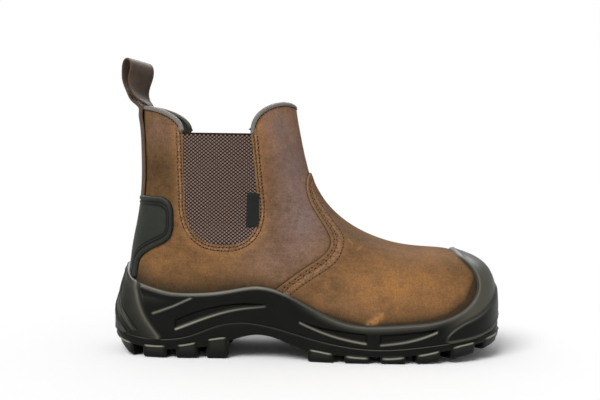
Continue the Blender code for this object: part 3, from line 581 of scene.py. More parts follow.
def tube_quads(rings, count):
    """Quads of a tube of rings with both ends closed."""
    end = end_quads(count)
    return np.concatenate([grid_quads(rings, count, wrapped=True), end[:, ::-1], end + (rings - 1) * count])


def copies(quads, count, stride):
    """The same quads for each of several copies whose points follow each other."""
    return (quads + np.arange(count)[:, None, None] * stride).reshape(-1, 4)


def joined(shapes):
    """Several (points, quads, values) as one."""
    points = [np.reshape(one, (-1, 3)) for one, _, _ in shapes]
    starts = np.cumsum([0] + [len(one) for one in points[:-1]])
    quads = [one + start for (_, one, _), start in zip(shapes, starts)]
    values = {}
    for name in shapes[0][2]:
        spread = [np.broadcast_to(marks[name], np.shape(one)[:-1]).ravel() for one, _, marks in shapes]
        values[name] = np.concatenate(spread)
    return np.concatenate(points), np.concatenate(quads), values


def piece(name, node, shapes, surfaces, merge=MERGE, outward=False, thickness=0.0, sharp_deg=None):
    """Object that stands for a node, from shapes in millimetres, with smooth faces and its materials. A sheet
    gets its thickness inward, and its inner side the last of the materials."""
    points, quads, values = joined(shapes)
    mesh = bpy.data.meshes.new(name)
    mesh.from_pydata((points * MM).tolist(), [], quads.tolist())
    for key, value in values.items():
        layer = mesh.attributes.new(key, "FLOAT", "POINT")
        layer.data.foreach_set("value", value.astype(np.float32))
    shape = bmesh.new()
    shape.from_mesh(mesh)
    if merge:
        bmesh.ops.remove_doubles(shape, verts=shape.verts, dist=merge * MM)
        bmesh.ops.dissolve_degenerate(shape, edges=shape.edges, dist=SLIVER * MM)
    if outward:
        bmesh.ops.recalc_face_normals(shape, faces=shape.faces)
    shape.to_mesh(mesh)
    shape.free()
    mesh.shade_smooth()
    if sharp_deg:
        mesh.set_sharp_from_angle(angle=np.radians(sharp_deg))
    for surface in surfaces:
        mesh.materials.append(surface)
    thing = bpy.data.objects.new(name, mesh)
    bpy.context.scene.collection.objects.link(thing)
    if thickness:
        wall = thing.modifiers.new("wall", "SOLIDIFY")
        wall.thickness = thickness * MM
        wall.offset = -1.0
        wall.material_offset = len(surfaces) - 1
    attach(thing, "root")
    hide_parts(node)


# Materials

def linear(colour):
    """Linear colour from an sRGB hex colour."""
    levels = [int(colour[i : i + 2], 16) / 255 for i in (1, 3, 5)]
    return (*[c / 12.92 if c <= 0.04045 else ((c + 0.055) / 1.055) ** 2.4 for c in levels], 1.0)


def add(tree, kind, inputs=(), output=0, stops=(), **settings):
    """Adds a node with its settings and colour stops, sets or links its inputs by name or number, and
    gives back one of its outputs."""
    made = tree.nodes.new("ShaderNode" + kind)
    for key, value in settings.items():
        setattr(made, key, value)
    for key, value in dict(inputs).items():
        if isinstance(value, bpy.types.NodeSocket):
            tree.links.new(value, made.inputs[key])
        else:
            made.inputs[key].default_value = value
    if stops:
        band = made.color_ramp.elements
        while len(band) < len(stops):
            band.new(0.5)
        for element, (place, colour) in zip(band, stops):
            element.position = place
            element.color = linear(colour)
    return made.outputs[output] if made.outputs else None


def per(grain):
    """Scale of a pattern whose grain is this many millimetres."""
    return 1 / (MM * grain)


def blank(name):
    """New material and its empty node tree."""
    surface = bpy.data.materials.new(name)
    surface.use_nodes = True
    surface.node_tree.nodes.clear()
    return surface, surface.node_tree


# Noises of the leather: grain in millimetres, detail and roughness
LEATHER_NOISES = {
    "cloud": (26.0, 5.0, 0.6), "fine": (5.0, 6.0, 0.68), "speck": (1.1, 3.0, 0.6), "crackle": (1.5, 2.0, 0.5),
}
STREAK_GRAIN = (10.5, 3.0, 1.65)
BLACK, WHITE = "#000000", "#ffffff"


def oiled_leather():
    """Oiled pull-up hide, buffed and waxed: a matt, cloudy brown that turns tan where it is stretched, plum
    where the wax lies thick and darker in patches, with painted shade over the sole, in the stitch grooves
    and beside the vamp's edge, and with fine pores, crackled seams and scuffs."""
    surface, tree = blank("oiled_pull_up_leather")
    where = add(tree, "TexCoord", output="Object")
    marks = ("tan", "plum", "dark", "scuff", "edge", "groove", "pucker")
    mark = {name: add(tree, "Attribute", output="Fac", attribute_name=name) for name in marks}
    noise = {}
    for name, (grain, detail, rough) in LEATHER_NOISES.items():
        inputs = {"Vector": where, "Scale": per(grain), "Detail": detail, "Roughness": rough}
        noise[name] = add(tree, "TexNoise", inputs)
    stretched = add(tree, "Mapping", {"Vector": where, "Scale": [per(grain) for grain in STREAK_GRAIN]})
    inputs = {"Vector": stretched, "Scale": 1.0, "Detail": 4.0, "Roughness": 0.6}
    noise["streak"] = add(tree, "TexNoise", inputs)
    mottle, pores = 0.0, 0.0
    for name, share in (("cloud", 0.44), ("fine", 0.36), ("streak", 0.2)):
        mottle = add(tree, "Math", {0: noise[name], 1: share, 2: mottle}, operation="MULTIPLY_ADD")
    for name, share in (("speck", 0.6), ("fine", 0.9)):
        pores = add(tree, "Math", {0: noise[name], 1: share, 2: pores}, operation="MULTIPLY_ADD")
    tan = add(tree, "Math", {0: mark["tan"], 1: 0.34, 2: mottle}, operation="MULTIPLY_ADD")
    ramps = {
        "brown": (tan, ((0.30, "#503d28"), (0.47, "#715437"), (0.62, "#8b6542"), (0.82, "#a97845"))),
        "plum": (mottle, ((0.32, "#6a554d"), (0.5, "#806b65"), (0.7, "#947b6e"))),
        "speckle": (noise["speck"], ((0.30, "#a79d92"), (0.62, WHITE))),
        "crackle": (noise["crackle"], ((0.36, "#583f2c"), (0.64, "#ab8768"))),
        "edge": (mark["edge"], ((0.0, BLACK), (0.5, BLACK), (0.95, WHITE))),
        "worn": (noise["fine"], ((0.36, BLACK), (0.54, WHITE))),
        "rough": (noise["fine"], ((0.3, "#c0c0c0"), (0.7, "#d8d8d8"))),
    }
    ramp = {name: add(tree, "ValToRGB", {0: value}, stops=stops) for name, (value, stops) in ramps.items()}
    patchy = {"scuff": ramp["worn"]}
    for name, value, lift in (("plum", mottle, 0.45), ("dark", noise["fine"], 0.35)):
        patchy[name] = add(tree, "Math", {0: value, 1: lift}, operation="ADD")
    share = {
        name: add(tree, "Math", {0: mark[name], 1: value}, operation="MULTIPLY", use_clamp=True)
        for name, value in patchy.items()
    }
    # The dark mark holds darker tone in spots and painted shade over the sole; the groove mark is painted
    # shade in the stitch grooves and beside the vamp's edge.
    layers = (
        (share["plum"], ramp["plum"], "MIX"),
        (share["dark"], linear("#483a2a"), "MIX"),
        (0.5, ramp["speckle"], "MULTIPLY"),
        (mark["pucker"], ramp["crackle"], "MIX"),
        (ramp["edge"], linear("#86643f"), "MIX"),
        (mark["groove"], linear("#33241a"), "MIX"),
        (share["scuff"], linear("#a97a4c"), "MIX"),
    )
    colour = ramp["brown"]
    for amount, over, blend in layers:
        colour = add(tree, "Mix", {0: amount, 6: colour, 7: over}, 2, data_type="RGBA", blend_type=blend)
    normal = add(tree, "Bump", {"Height": pores, "Strength": 0.35, "Distance": 0.5 * MM})
    inputs = {"Base Color": colour, "Roughness": ramp["rough"], "Normal": normal, "Specular IOR Level": 0.012}
    add(tree, "OutputMaterial", {"Surface": add(tree, "BsdfPrincipled", inputs)})
    return surface


def strap_leather():
    """Flat dyed strap: two close dark browns in soft clouds, a fine grain, and lighter raw edges."""
    surface, tree = blank("strap_leather")
    where = add(tree, "TexCoord", output="Object")
    cloud = add(tree, "TexNoise", {"Vector": where, "Scale": per(14.0), "Detail": 5.0, "Roughness": 0.62})
    grain = add(tree, "TexNoise", {"Vector": where, "Scale": per(1.0), "Detail": 3.0, "Roughness": 0.6})
    colour = add(tree, "ValToRGB", {0: cloud}, stops=((0.3, "#463b33"), (0.7, "#5e5045")))
    edge = add(tree, "Attribute", output="Fac", attribute_name="edge")
    edge = add(tree, "ValToRGB", {0: edge}, stops=((0.45, BLACK), (0.95, WHITE)))
    colour = add(tree, "Mix", {0: edge, 6: colour, 7: linear("#5a4231")}, 2, data_type="RGBA")
    normal = add(tree, "Bump", {"Height": grain, "Strength": 0.4, "Distance": 0.4 * MM})
    inputs = {"Base Color": colour, "Roughness": 0.6, "Normal": normal, "Specular IOR Level": 0.1}
    add(tree, "OutputMaterial", {"Surface": add(tree, "BsdfPrincipled", inputs)})
    return surface


def woven_elastic():
    """Elastic cloth: light floats of yarn over a near-black brown ground, matt, coloured by its height."""
    surface, tree = blank("woven_elastic")
    where = add(tree, "TexCoord", output="Object")
    yarn = add(tree, "TexNoise", {"Vector": where, "Scale": per(0.5), "Detail": 2.0, "Roughness": 0.5})
    height = add(tree, "Math", {0: yarn, 1: 0.2}, operation="MULTIPLY")
    weave = add(tree, "Attribute", output="Fac", attribute_name="weave")
    height = add(tree, "Math", {0: weave, 1: 0.85, 2: height}, operation="MULTIPLY_ADD")
    stops = ((0.22, "#170e0b"), (0.6, "#3b2c26"), (0.98, "#99867b"))
    colour = add(tree, "ValToRGB", {0: height}, stops=stops)
    inputs = {"Base Color": colour, "Roughness": 0.85, "Specular IOR Level": 0.05}
    add(tree, "OutputMaterial", {"Surface": add(tree, "BsdfPrincipled", inputs)})
    return surface


def moulded(name, base, light, roughness):
    """Moulded polymer: near-black with a soft satin shine and a faint mould texture, its grooves darkened to
    black as painted shade and its ridges, dashes and lip lightened to a light grey as painted highlights."""
    surface, tree = blank(name)
    where = add(tree, "TexCoord", output="Object")
    cloud = add(tree, "TexNoise", {"Vector": where, "Scale": per(18.0), "Detail": 4.0, "Roughness": 0.6})
    grain = add(tree, "TexNoise", {"Vector": where, "Scale": per(0.6), "Detail": 2.0, "Roughness": 0.5})
    colour = add(tree, "ValToRGB", {0: cloud}, stops=((0.3, base), (0.75, light)))
    # The groove mark is painted shade in grooves; the other mark is painted highlights on ridges, dashes and
    # the lip.
    for mark, over in (("groove", "#050505"), ("painted_highlight", "#9c9a8b")):
        amount = add(tree, "Attribute", output="Fac", attribute_name=mark)
        colour = add(tree, "Mix", {0: amount, 6: colour, 7: linear(over)}, 2, data_type="RGBA")
    normal = add(tree, "Bump", {"Height": grain, "Strength": 0.25, "Distance": 0.15 * MM})
    inputs = {"Base Color": colour, "Roughness": roughness, "Normal": normal, "Specular IOR Level": 0.13}
    add(tree, "OutputMaterial", {"Surface": add(tree, "BsdfPrincipled", inputs)})
    return surface


def plain_cloth(name, base, light, pitch, roughness):
    """Close woven or felted yarn: two near colours in a fine grain of this pitch, dull, with a soft bump."""
    surface, tree = blank(name)
    where = add(tree, "TexCoord", output="Object")
    grain = add(tree, "TexNoise", {"Vector": where, "Scale": per(pitch), "Detail": 3.0, "Roughness": 0.6})
    colour = add(tree, "ValToRGB", {0: grain}, stops=((0.3, base), (0.7, light)))
    normal = add(tree, "Bump", {"Height": grain, "Strength": 0.5, "Distance": 0.3 * MM})
    inputs = {"Base Color": colour, "Roughness": roughness, "Normal": normal, "Specular IOR Level": 0.1}
    add(tree, "OutputMaterial", {"Surface": add(tree, "BsdfPrincipled", inputs)})
    return surface


LEATHER = oiled_leather()
STRAP = strap_leather()
ELASTIC = woven_elastic()
# Vinyl patch a shade greener and lighter than the sole, foam wall and rubber tread both near black
PATCH = moulded("moulded_patch", "#23251f", "#2e302a", 0.52)
FOAM = moulded("moulded_foam_sole", "#070704", "#0d0d08", 0.42)
RUBBER = moulded("tread_rubber", "#070704", "#0d0d09", 0.46)
# Dull grey-green lining, paler grey tape, brown and dark threads, black label, grey felt, and the dark brown
# of the needle holes as painted shade
LINING = plain_cloth("lining_cloth", "#3a3a34", "#4c4b44", 0.8, 0.9)
TAPE = plain_cloth("binding_tape", "#625d58", "#7f7973", 0.7, 0.6)
THREAD = plain_cloth("waxed_thread", "#5c4129", "#775636", 0.5, 0.6)
DARK_THREAD = plain_cloth("dark_thread", "#1c1815", "#2d2722", 0.5, 0.6)
LABEL = plain_cloth("woven_label", "#191b19", "#2a2d2a", 0.5, 0.8)
FELT = plain_cloth("felt_footbed", "#3b3833", "#4f4b45", 0.9, 0.95)
HOLE_SHADE = plain_cloth("needle_hole", "#20150c", "#2b1d12", 0.5, 0.9)


# Panels of the upper

WINDOW_S, _, WINDOW_T = section_through(WINDOW[:, 0], WINDOW[:, 1])
SLIT = int(np.argmin(WINDOW_S))
SLIT_S = float(WINDOW_S[SLIT])
# Columns of each block of the quarter, rows below and above the window's foot, and how the columns crowd
# to the window
QUARTER_COLUMNS = {"rear": 46, "front": 58}
QUARTER_ROWS = (60, 96)
QUARTER_CROWD = 1.35


def window_shares(side):
    """Rear and front edge of the window as (distances s, shares), each from its lowest section up."""
    share = share_of(WINDOW_S, WINDOW_T, side)
    rear = (WINDOW_S[SLIT::-1], share[SLIT::-1])
    front = (WINDOW_S[SLIT:], share[SLIT:])
    return rear, front


WINDOW_SHARES = (window_shares(0), window_shares(1))


def seam_curve(side):
    """Distance s of the vamp's edge for each share of the way from foot to ridge."""
    x, z = np.array(SEAM, float).T
    s, _, t = section_through(x, z)
    share = share_of(s, t, side)
    tops = np.linspace(0, COLLAR_S, 400)
    climbs = tops > RIDGE_CLIMB_SHARE * COLLAR_S
    ridge_s = np.interp(SEAM_TOP_Z, section(tops)["top_z"][climbs], tops[climbs])
    order = np.argsort(share)
    knots = np.concatenate([share[order], [1.0]])
    return Spline(knots, np.concatenate([s[order], [ridge_s]])[:, None])


SEAM_CURVES = (seam_curve(0), seam_curve(1))


def seam_s(share, side, back=0.0):
    """Distance s of the line this far from the vamp's edge, toward the toe, measured across that edge."""
    s = SEAM_CURVES[side](share)[..., 0]
    if not back:
        return s
    step = 0.2
    edge = np.linspace(0, 1, 200)
    edge_s = SEAM_CURVES[side](edge)[..., 0]
    along = unit(np.gradient(skin(edge_s, edge, side), axis=0))
    move = (skin(edge_s + step, edge, side) - skin(edge_s - step, edge, side)) / (2 * step)
    rate = np.maximum(np.linalg.norm(square_to(move, along), axis=-1), 0.25)
    return s - back / np.interp(share, edge, rate)


def quarter_shape(side, part):
    """One block of the quarter: columns from the back line to the gore window (rear) or from the window to
    the ridge (front), rows from under the vamp up to the window's foot and on to the collar's edge. Below
    the foot the window is a closed slit. Points are the last's, sunk by the creases and rolled in at
    the window's edge."""
    rear_edge, front_edge = WINDOW_SHARES[side]
    count = QUARTER_COLUMNS[part]
    across = np.linspace(0, 1, count)
    across = 1 - (1 - across) ** QUARTER_CROWD if part == "rear" else across**QUARTER_CROWD

    def share_at(s):
        low = np.interp(s, *rear_edge)
        high = np.interp(s, *front_edge)
        return across * low if part == "rear" else high + (1 - high) * across

    def is_below(s):
        points = skin(s, share_at(s), side)
        return points[:, 2] < collar_height(points[:, 0])

    top = bisected(count, SLIT_S, COLLAR_S, is_below)
    start = np.minimum(seam_s(share_at(np.full(count, SLIT_S)), side) - VAMP_TUCK, SLIT_S - 3)
    lower, upper = (np.linspace(0, 1, rows)[:, None] for rows in QUARTER_ROWS)
    s = np.concatenate([start + (SLIT_S - start) * lower, SLIT_S + (top - SLIT_S) * upper[1:]])
    share = share_at(s)
    points = skin(s, share, side)
    x, z = points[..., 0], points[..., 2]
    away = to_line(x, z, WINDOW)
    groove = sum(bell(away - row, 0.45) for row in WINDOW_ROWS)
    between = away - sum(WINDOW_ROWS) / 2
    out = creased(x, z, side) - 0.8 * (1 - rolled(away / 1.4)) * (z < GORE_TOP_Z + 8)
    out = out - 0.32 * groove + 0.22 * bell(between, 0.8)
    points = points + out_of(points, side) * out[..., None]
    # Painted shadow on the quarter beside the vamp's edge
    shade = bell(np.maximum(s - seam_s(share, side), 0), SEAM_SHADE)
    pucker = 0.62 * bell(between, 2.2) * (z < GORE_TOP_Z + 4)
    # The groove mark here is painted shade: in the stitch grooves round the window and beside the vamp's
    # edge.
    values = leather_marks(x, z, 0.7 * bell(away, 0.7), 0.4 * groove + 0.75 * shade, pucker)
    return points, grid_quads(*s.shape, flipped=side == 1), values


QUARTER_SHAPES = {(side, part): quarter_shape(side, part) for side in (0, 1) for part in ("rear", "front")}
# Distances from the vamp's edge of its first rows, then the even rows from there to the toe
VAMP_EDGE_ROWS = (
    0, 0.06, 0.2, 0.45, 0.8, 1.2, 1.7, 2.2, 2.7, 3.3, 3.9, 4.6, 5.5, 6.5, 7.6, 8.8, 9.5, 10.2, 11.2,
)
VAMP_ROW_COUNT = 112
VAMP_COLUMNS = 140
VAMP_REACH = 150.0
VAMP_END_S = 3.0
PUCKER = {"pitch": 5.2, "height": 0.24, "away": 4.5, "width": 4.5}


def vamp_shape(side):
    """Half of the vamp: columns from foot to ridge, rows from its edge to the toe. Points are the last's,
    moved out by the leather's thickness with a rolled edge, grooved under the stitch rows and sunk by the
    creases."""
    share = np.linspace(0, 1, VAMP_COLUMNS)
    edge = np.stack([seam_s(share, side, away) for away in VAMP_EDGE_ROWS])
    rest = np.linspace(0, 1, VAMP_ROW_COUNT)[1:, None]
    s = np.concatenate([edge, edge[-1] + (VAMP_END_S - edge[-1]) * rest])[::-1]
    away = np.concatenate([VAMP_EDGE_ROWS, VAMP_EDGE_ROWS[-1] + VAMP_REACH * rest[:, 0]])[::-1, None]
    points = skin(s, np.broadcast_to(share, s.shape), side)
    x, z = points[..., 0], points[..., 2]
    rows = sum(deep * bell(away - row, width) for row, _, width, deep in VAMP_ROWS)
    run = np.cumsum(np.linalg.norm(np.diff(points[-1], axis=0, prepend=points[-1, :1]), axis=-1))
    wave = PUCKER["height"] * np.sin(2 * np.pi * run / PUCKER["pitch"])
    out = VAMP_THICKNESS * rolled(away / 0.8) + creased(x, z, side) - 0.34 * rows
    out = out + wave * bell(away - PUCKER["away"], PUCKER["width"]) + 0.25 * bell(away - 3.5, 0.6)
    points = points + out_of(points, side) * out[..., None]
    pucker = 0.45 * bell(away - 5.5, 4.0)
    # Painted shade in the stitch grooves rides in the groove mark.
    values = leather_marks(x, z, 0.8 * bell(away, 0.8), 0.5 * rows, pucker, 0.14 * bell(away - 6.0, 6.0), 0.4)
    return points, grid_quads(*s.shape, flipped=side == 1), values


def make_panels():
    """Quarters and vamp, leather outside and lining within."""
    skins = (LEATHER, LINING)
    shapes = list(QUARTER_SHAPES.values())
    piece("quarters", "upper", shapes, skins, PANEL_MERGE, thickness=WALL)
    shapes = [vamp_shape(side) for side in (0, 1)]
    piece("vamp", "upper", shapes, skins, PANEL_MERGE, thickness=WALL + VAMP_THICKNESS)


# Weave of the elastic: spacing of its floats, rows and columns of the cloth and the step of its coarse grid
WEAVE_ACROSS = 3.3
WEAVE_UP = 2.66
GORE_ROWS = np.arange(253.0)
GORE_COLUMNS = np.arange(169.0)
GORE_STEP = 6
GORE_SINK = 2.0
GORE_THICKNESS = 1.4
GORE_UNDER = {"side": 7.0, "foot": 6.0}


def make_gore(side, name, node):
    """Elastic under its window: a grid over the side view from edge to edge and past both, sunk under the
    leather, bowed a little inward and raised by the weave, whose rounded floats lie on a centred lattice."""
    z = np.linspace(WINDOW_BOTTOM_Z - GORE_UNDER["foot"], GORE_TOP_Z, len(GORE_ROWS))[:, None]
    u = np.linspace(0, 1, len(GORE_COLUMNS))
    held = np.maximum(z, WINDOW_BOTTOM_Z + 12)
    rear, front = window_edge(held, -1), window_edge(held, 1)
    x = rear - GORE_UNDER["side"] + (front - rear + 2 * GORE_UNDER["side"]) * u
    z = np.broadcast_to(z, x.shape)
    weave = (0.5 + 0.5 * np.cos(2 * np.pi * x / WEAVE_ACROSS) * np.cos(2 * np.pi * z / WEAVE_UP)) ** 2.2
    hem = ease(GORE_TOP_Z - 1.6, GORE_TOP_Z - 0.4, z)
    bow = 0.7 * np.sin(np.pi * u) * ease(WINDOW_BOTTOM_Z, WINDOW_BOTTOM_Z + 25, z)
    past = np.maximum(rear - x, x - front)
    under = ease(0.0, 2.5, past) + ease(-WINDOW_BOTTOM_Z - 2, -WINDOW_BOTTOM_Z + 2, -z)
    out = -GORE_SINK - bow + 0.55 * weave * (1 - hem) + 0.2 * hem - 1.1 * under
    step = GORE_STEP
    coarse = np.concatenate(on_side(x[::step, ::step], z[::step, ::step], side), axis=-1)
    fine = refined(coarse, GORE_ROWS[::step], GORE_ROWS, GORE_COLUMNS[::step], GORE_COLUMNS)
    points = fine[..., :3] + unit(fine[..., 3:]) * out[..., None]
    quads = grid_quads(*x.shape, flipped=side == 0)
    shape = (points, quads, {"weave": np.where(hem > 0.5, 0.3, weave)})
    piece(name, node, [shape], (ELASTIC,), 0.0, thickness=GORE_THICKNESS)


TAG_X = (-46.6, -38.0)
TAG_Z = (101.5, 127.5)
TAG_SLANT = 0.9
TAG_SINK = 0.4


def make_tag():
    """Bare woven label over the gore's front edge: a ribbed patch of the side view, edges rolled under."""
    u, v = np.meshgrid(np.linspace(0, 1, 26), np.linspace(0, 1, 48))
    x = TAG_X[0] + (TAG_X[1] - TAG_X[0]) * u - TAG_SLANT * (1 - v) * (1 - u)
    z = TAG_Z[0] + (TAG_Z[1] - TAG_Z[0]) * v
    rim = np.minimum(np.minimum(u * 9, v * 26), (1 - v) * 26)
    ribs = 0.08 * np.cos(2 * np.pi * z / 0.9)
    points, _ = on_side(x, z, 0, -GORE_SINK + 0.3 + 1.1 * rolled(rim / 0.8) + ribs - TAG_SINK * u)
    shape = (points, grid_quads(*x.shape, flipped=True), {})
    piece("gore_tag_cloth", "gore_tag", [shape], (LABEL,), thickness=1.0)


# Stitching and binding

STITCH_RING = 6
STITCH_STATIONS = 6
STITCH_RADIUS = 0.42
PIT_RING = 8
PIT_RADIUS = 0.6
PIT_LIFT = 0.14


def stitches(path, normal, pitch, length, radius=STITCH_RADIUS):
    """Stitches along a path: a capsule for each, arched out of the leather and diving in at both ends."""
    run = run_of(path)
    at = np.arange(pitch / 2, run[-1] - pitch / 2, pitch)
    middle, up, ahead = (read_at(at, run, values) for values in (path, normal, np.gradient(path, axis=0)))
    up = unit(up)
    ahead = unit(square_to(ahead, up))
    axes = np.stack([ahead, up, np.cross(up, ahead)], axis=1)
    share = np.linspace(-1, 1, STITCH_STATIONS)[:, None]
    turn = np.linspace(0, 2 * np.pi, STITCH_RING, endpoint=False)
    swell = 0.35 + 0.65 * np.sqrt(np.maximum(1 - share**4, 0))
    lift = radius * (0.5 - 1.1 * share**2 + swell * np.sin(turn))
    capsule = np.stack(np.broadcast_arrays(share * length / 2, lift, radius * swell * np.cos(turn)), axis=-1)
    points = middle[:, None, None] + np.einsum("abk,nkc->nabc", capsule, axes)
    quads = tube_quads(STITCH_STATIONS, STITCH_RING)
    return points, copies(quads, len(at), STITCH_STATIONS * STITCH_RING), {}


def pits(path, normal, pitch):
    """Needle holes along a path: a small disc of painted shade at each end of a stitch, just out of the
    leather.
    """
    run = run_of(path)
    at = np.arange(0.0, run[-1] - pitch / 2, pitch)
    middle, up = read_at(at, run, path), unit(read_at(at, run, normal))
    side = unit(np.cross(up, np.array([0.3, 0.1, 0.9])))
    turn = np.linspace(0, 2 * np.pi, PIT_RING, endpoint=False)[:, None]
    ring = np.cos(turn) * side[:, None] + np.sin(turn) * np.cross(up, side)[:, None]
    points = (middle + PIT_LIFT * up)[:, None] + PIT_RADIUS * ring
    return points, copies(end_quads(PIT_RING), len(at), PIT_RING), {}


def seam_line(side, away, lift):
    """Path on the vamp this far inside its edge, and its normals."""
    share = np.linspace(0.06, 1, 160)
    s = seam_s(share, side, away)
    grid = np.stack([skin(s + step, share, side) for step in (-0.4, 0.0, 0.4)])
    line, normal = grid[1], out_of(grid, side)[1]
    sunk = creased(line[:, 0], line[:, 2], side)
    return line + normal * (lift + sunk)[:, None], normal


def make_stitching():
    """Rows of stitches and needle holes round each window and along the vamp's edge."""
    thread, holes = [], []
    for side in (0, 1):
        rows = []
        for away in WINDOW_ROWS:
            x, z = window_path(away)[3:-3].T
            rows.append((*on_side(x, z, side, creased(x, z, side) - 0.2), WINDOW_PITCH, 0.75))
        for away, pitch, _, _ in VAMP_ROWS:
            rows.append((*seam_line(side, away, VAMP_THICKNESS - 0.25), pitch, 0.74))
        thread += [stitches(path, normal, pitch, pitch * share) for path, normal, pitch, share in rows]
        holes += [pits(path, normal, pitch) for path, normal, pitch, _ in rows]
    piece("seam_stitches", "upper", thread, (THREAD,), 0.0)
    piece("needle_holes", "upper", holes, (HOLE_SHADE,), 0.0)


BINDING_DROP = 2.5
BINDING_TAIL = {"rear": 3.2, "front": 0.5}
BINDING_HALF = WALL / 2 + 0.75
BINDING_STEP = 1.1
BINDING_STITCH = {"pitch": 2.4, "length": 1.9, "radius": 0.36}


def binding_profile():
    """Tape's profile as distances out and up from the collar's edge: a half circle and a drop each side."""
    turn = np.linspace(0, np.pi, 13)
    half, foot = BINDING_HALF, -BINDING_DROP
    over = np.stack([half * np.cos(turn), half * np.sin(turn) - 1.2], axis=-1)
    low = [
        (-half, foot), (-half + 1.0, foot), (half - 0.7, foot), (half - 0.1, foot + 0.35), (half, foot + 1.2),
    ]
    return np.concatenate([over, low]) - (WALL / 2, 0.0)


def make_binding(part):
    """Tape folded over a collar tab: a rounded profile carried along the edge from gore to gore."""
    grids = [QUARTER_SHAPES[(side, part)][0] for side in (0, 1)]
    rails = [np.stack([grid[-1], out_of(grid[-4:], side)[-2]]) for side, grid in enumerate(grids)]
    ends = (rails[0][:, ::-1], rails[1][:, 1:]) if part == "rear" else (rails[0], rails[1][:, -2::-1])
    path, normal = np.concatenate(ends, axis=1)
    tails = BINDING_TAIL[part] * unit(np.stack([path[0] - path[2], path[-1] - path[-3]]))
    path = np.concatenate([path[:1] + tails[0], path, path[-1:] + tails[1]])
    normal = np.concatenate([normal[:1], normal, normal[-1:]])
    path, normal = evenly(path, BINDING_STEP, normal)
    normal = unit(normal)
    for _ in range(4):
        for line in (path, normal):
            line[1:-1] = (line[:-2] + 2 * line[1:-1] + line[2:]) / 4
    ahead = unit(np.gradient(path, axis=0))
    normal = unit(square_to(normal, ahead))
    up = np.cross(normal, ahead)
    up = up * np.sign(up[len(up) // 2, 2])
    out, rise = binding_profile().T[..., None]
    points = path[:, None] + out * normal[:, None] + rise * up[:, None]
    tape = (points, tube_quads(*points.shape[:2]), {})
    node = "binding_" + part
    piece("binding_tape_" + part, node, [tape], (TAPE,), outward=True)
    line = path + normal * 0.3 - up * (BINDING_DROP + 0.35)
    sewn = stitches(line[4:-4], normal[4:-4], **BINDING_STITCH)
    piece("binding_stitches_" + part, node, [sewn], (DARK_THREAD,), 0.0)


# Heel patch: x of its front edge over height
COUNTER = (
    (60, -133.6), (73.5, -131.6), (79, -127.0), (83.5, -120.0), (87, -112.0), (92, -106.0), (100, -103.6),
    (114, -104.0), (120.5, -106.5), (123.8, -113.0),
)
COUNTER_THICKNESS = 2.9
COUNTER_SINK = 0.3
COUNTER_GROOVES = (4.6, 6.9)
COUNTER_REACH = 60.0


def make_counter():
    """Moulded patch round the heel: a grid of heights and turns about the heel's middle line, raised from its
    edge as a quarter circle, with two fine grooves inside the edge and a sunk field within them."""
    z = np.linspace(COUNTER[0][0], COUNTER[-1][0], 70)
    front = np.interp(z, *zip(*COUNTER))
    for _ in range(3):
        front[1:-1] = (front[:-2] + front[1:-1] + front[2:]) / 3
    edge_turn = [np.arctan2(np.abs(depth(front, z, side)), HEEL_CENTRE_X - front)[:, None] for side in (0, 1)]
    w = np.linspace(-1, 1, 141)
    turn = np.where(w < 0, -edge_turn[0] * w, edge_turn[1] * w)
    sign = np.where(w < 0, -1.0, 1.0)
    high = np.broadcast_to(z[:, None], turn.shape)

    def is_within(reach):
        return is_inside(HEEL_CENTRE_X - reach * np.cos(turn), sign * reach * np.sin(turn), high, 0.0)

    reach = bisected(turn.shape, 0.0, COUNTER_REACH, is_within)
    base = np.stack([HEEL_CENTRE_X - reach * np.cos(turn), sign * reach * np.sin(turn), high], axis=-1)
    flat = np.stack([reach * turn * sign, high], axis=-1)
    away = to_line(flat[..., 0], high, np.concatenate([flat[:, 0], flat[-1], flat[::-1, -1]]))
    grooves = sum(bell(away - groove, 0.72) for groove in COUNTER_GROOVES)
    out = (COUNTER_THICKNESS + COUNTER_SINK) * rolled(away / 2.0) - COUNTER_SINK
    out = out - grooves - 0.7 * ease(7.0, 8.2, away)
    normal = unit(np.cross(np.gradient(base, axis=1), np.gradient(base, axis=0)))
    normal = normal * np.sign(-normal[len(z) // 2, len(w) // 2, 0])
    points = base + normal * out[..., None]
    # The groove mark darkens the two grooves as painted shade.
    shape = (points, grid_quads(*turn.shape), {"groove": np.clip(grooves, 0, 1)})
    piece("heel_patch", "heel_counter", [shape], (PATCH,), outward=True, thickness=2.4)


# Sole

WALL_STEPS = np.concatenate([np.linspace(0, 0.8, 9), [0.88, 0.94, 0.975, 1.0]])
LIP_STEPS = np.sin(np.linspace(0, np.pi / 2, 21)[1:])
FINE_STEPS = np.concatenate([np.linspace(0, 0.74, 30), 0.74 + 0.26 * LIP_STEPS])
SKIRT_ROWS = 31
COARSE_PLACES = np.linspace(0, EDGE_END, 113)
FINE_PLACES = np.linspace(0, EDGE_END, 560)
HEEL_FAIR = {"place": 299.0, "reach": 13.0, "pull": 0.5, "rounds": 14}


def edge_frame(places, side, swing=0.0):
    """Points on the foot's middle line and the directions from them out to the sole's edge."""
    turn = np.interp(places, (0, TOE_TURN, HEEL_TURN, EDGE_END), (0, 90, 90, 180))
    turn = np.radians(turn + swing)
    x = np.interp(places, (TOE_TURN, HEEL_TURN), (TOE_CENTRE[0], HEEL_CENTRE_X))
    y = np.interp(places, (TOE_TURN, HEEL_TURN), (TOE_CENTRE[1], 0.0))
    return x, y, np.cos(turn), np.sin(turn) * (-1 if side == 0 else 1)


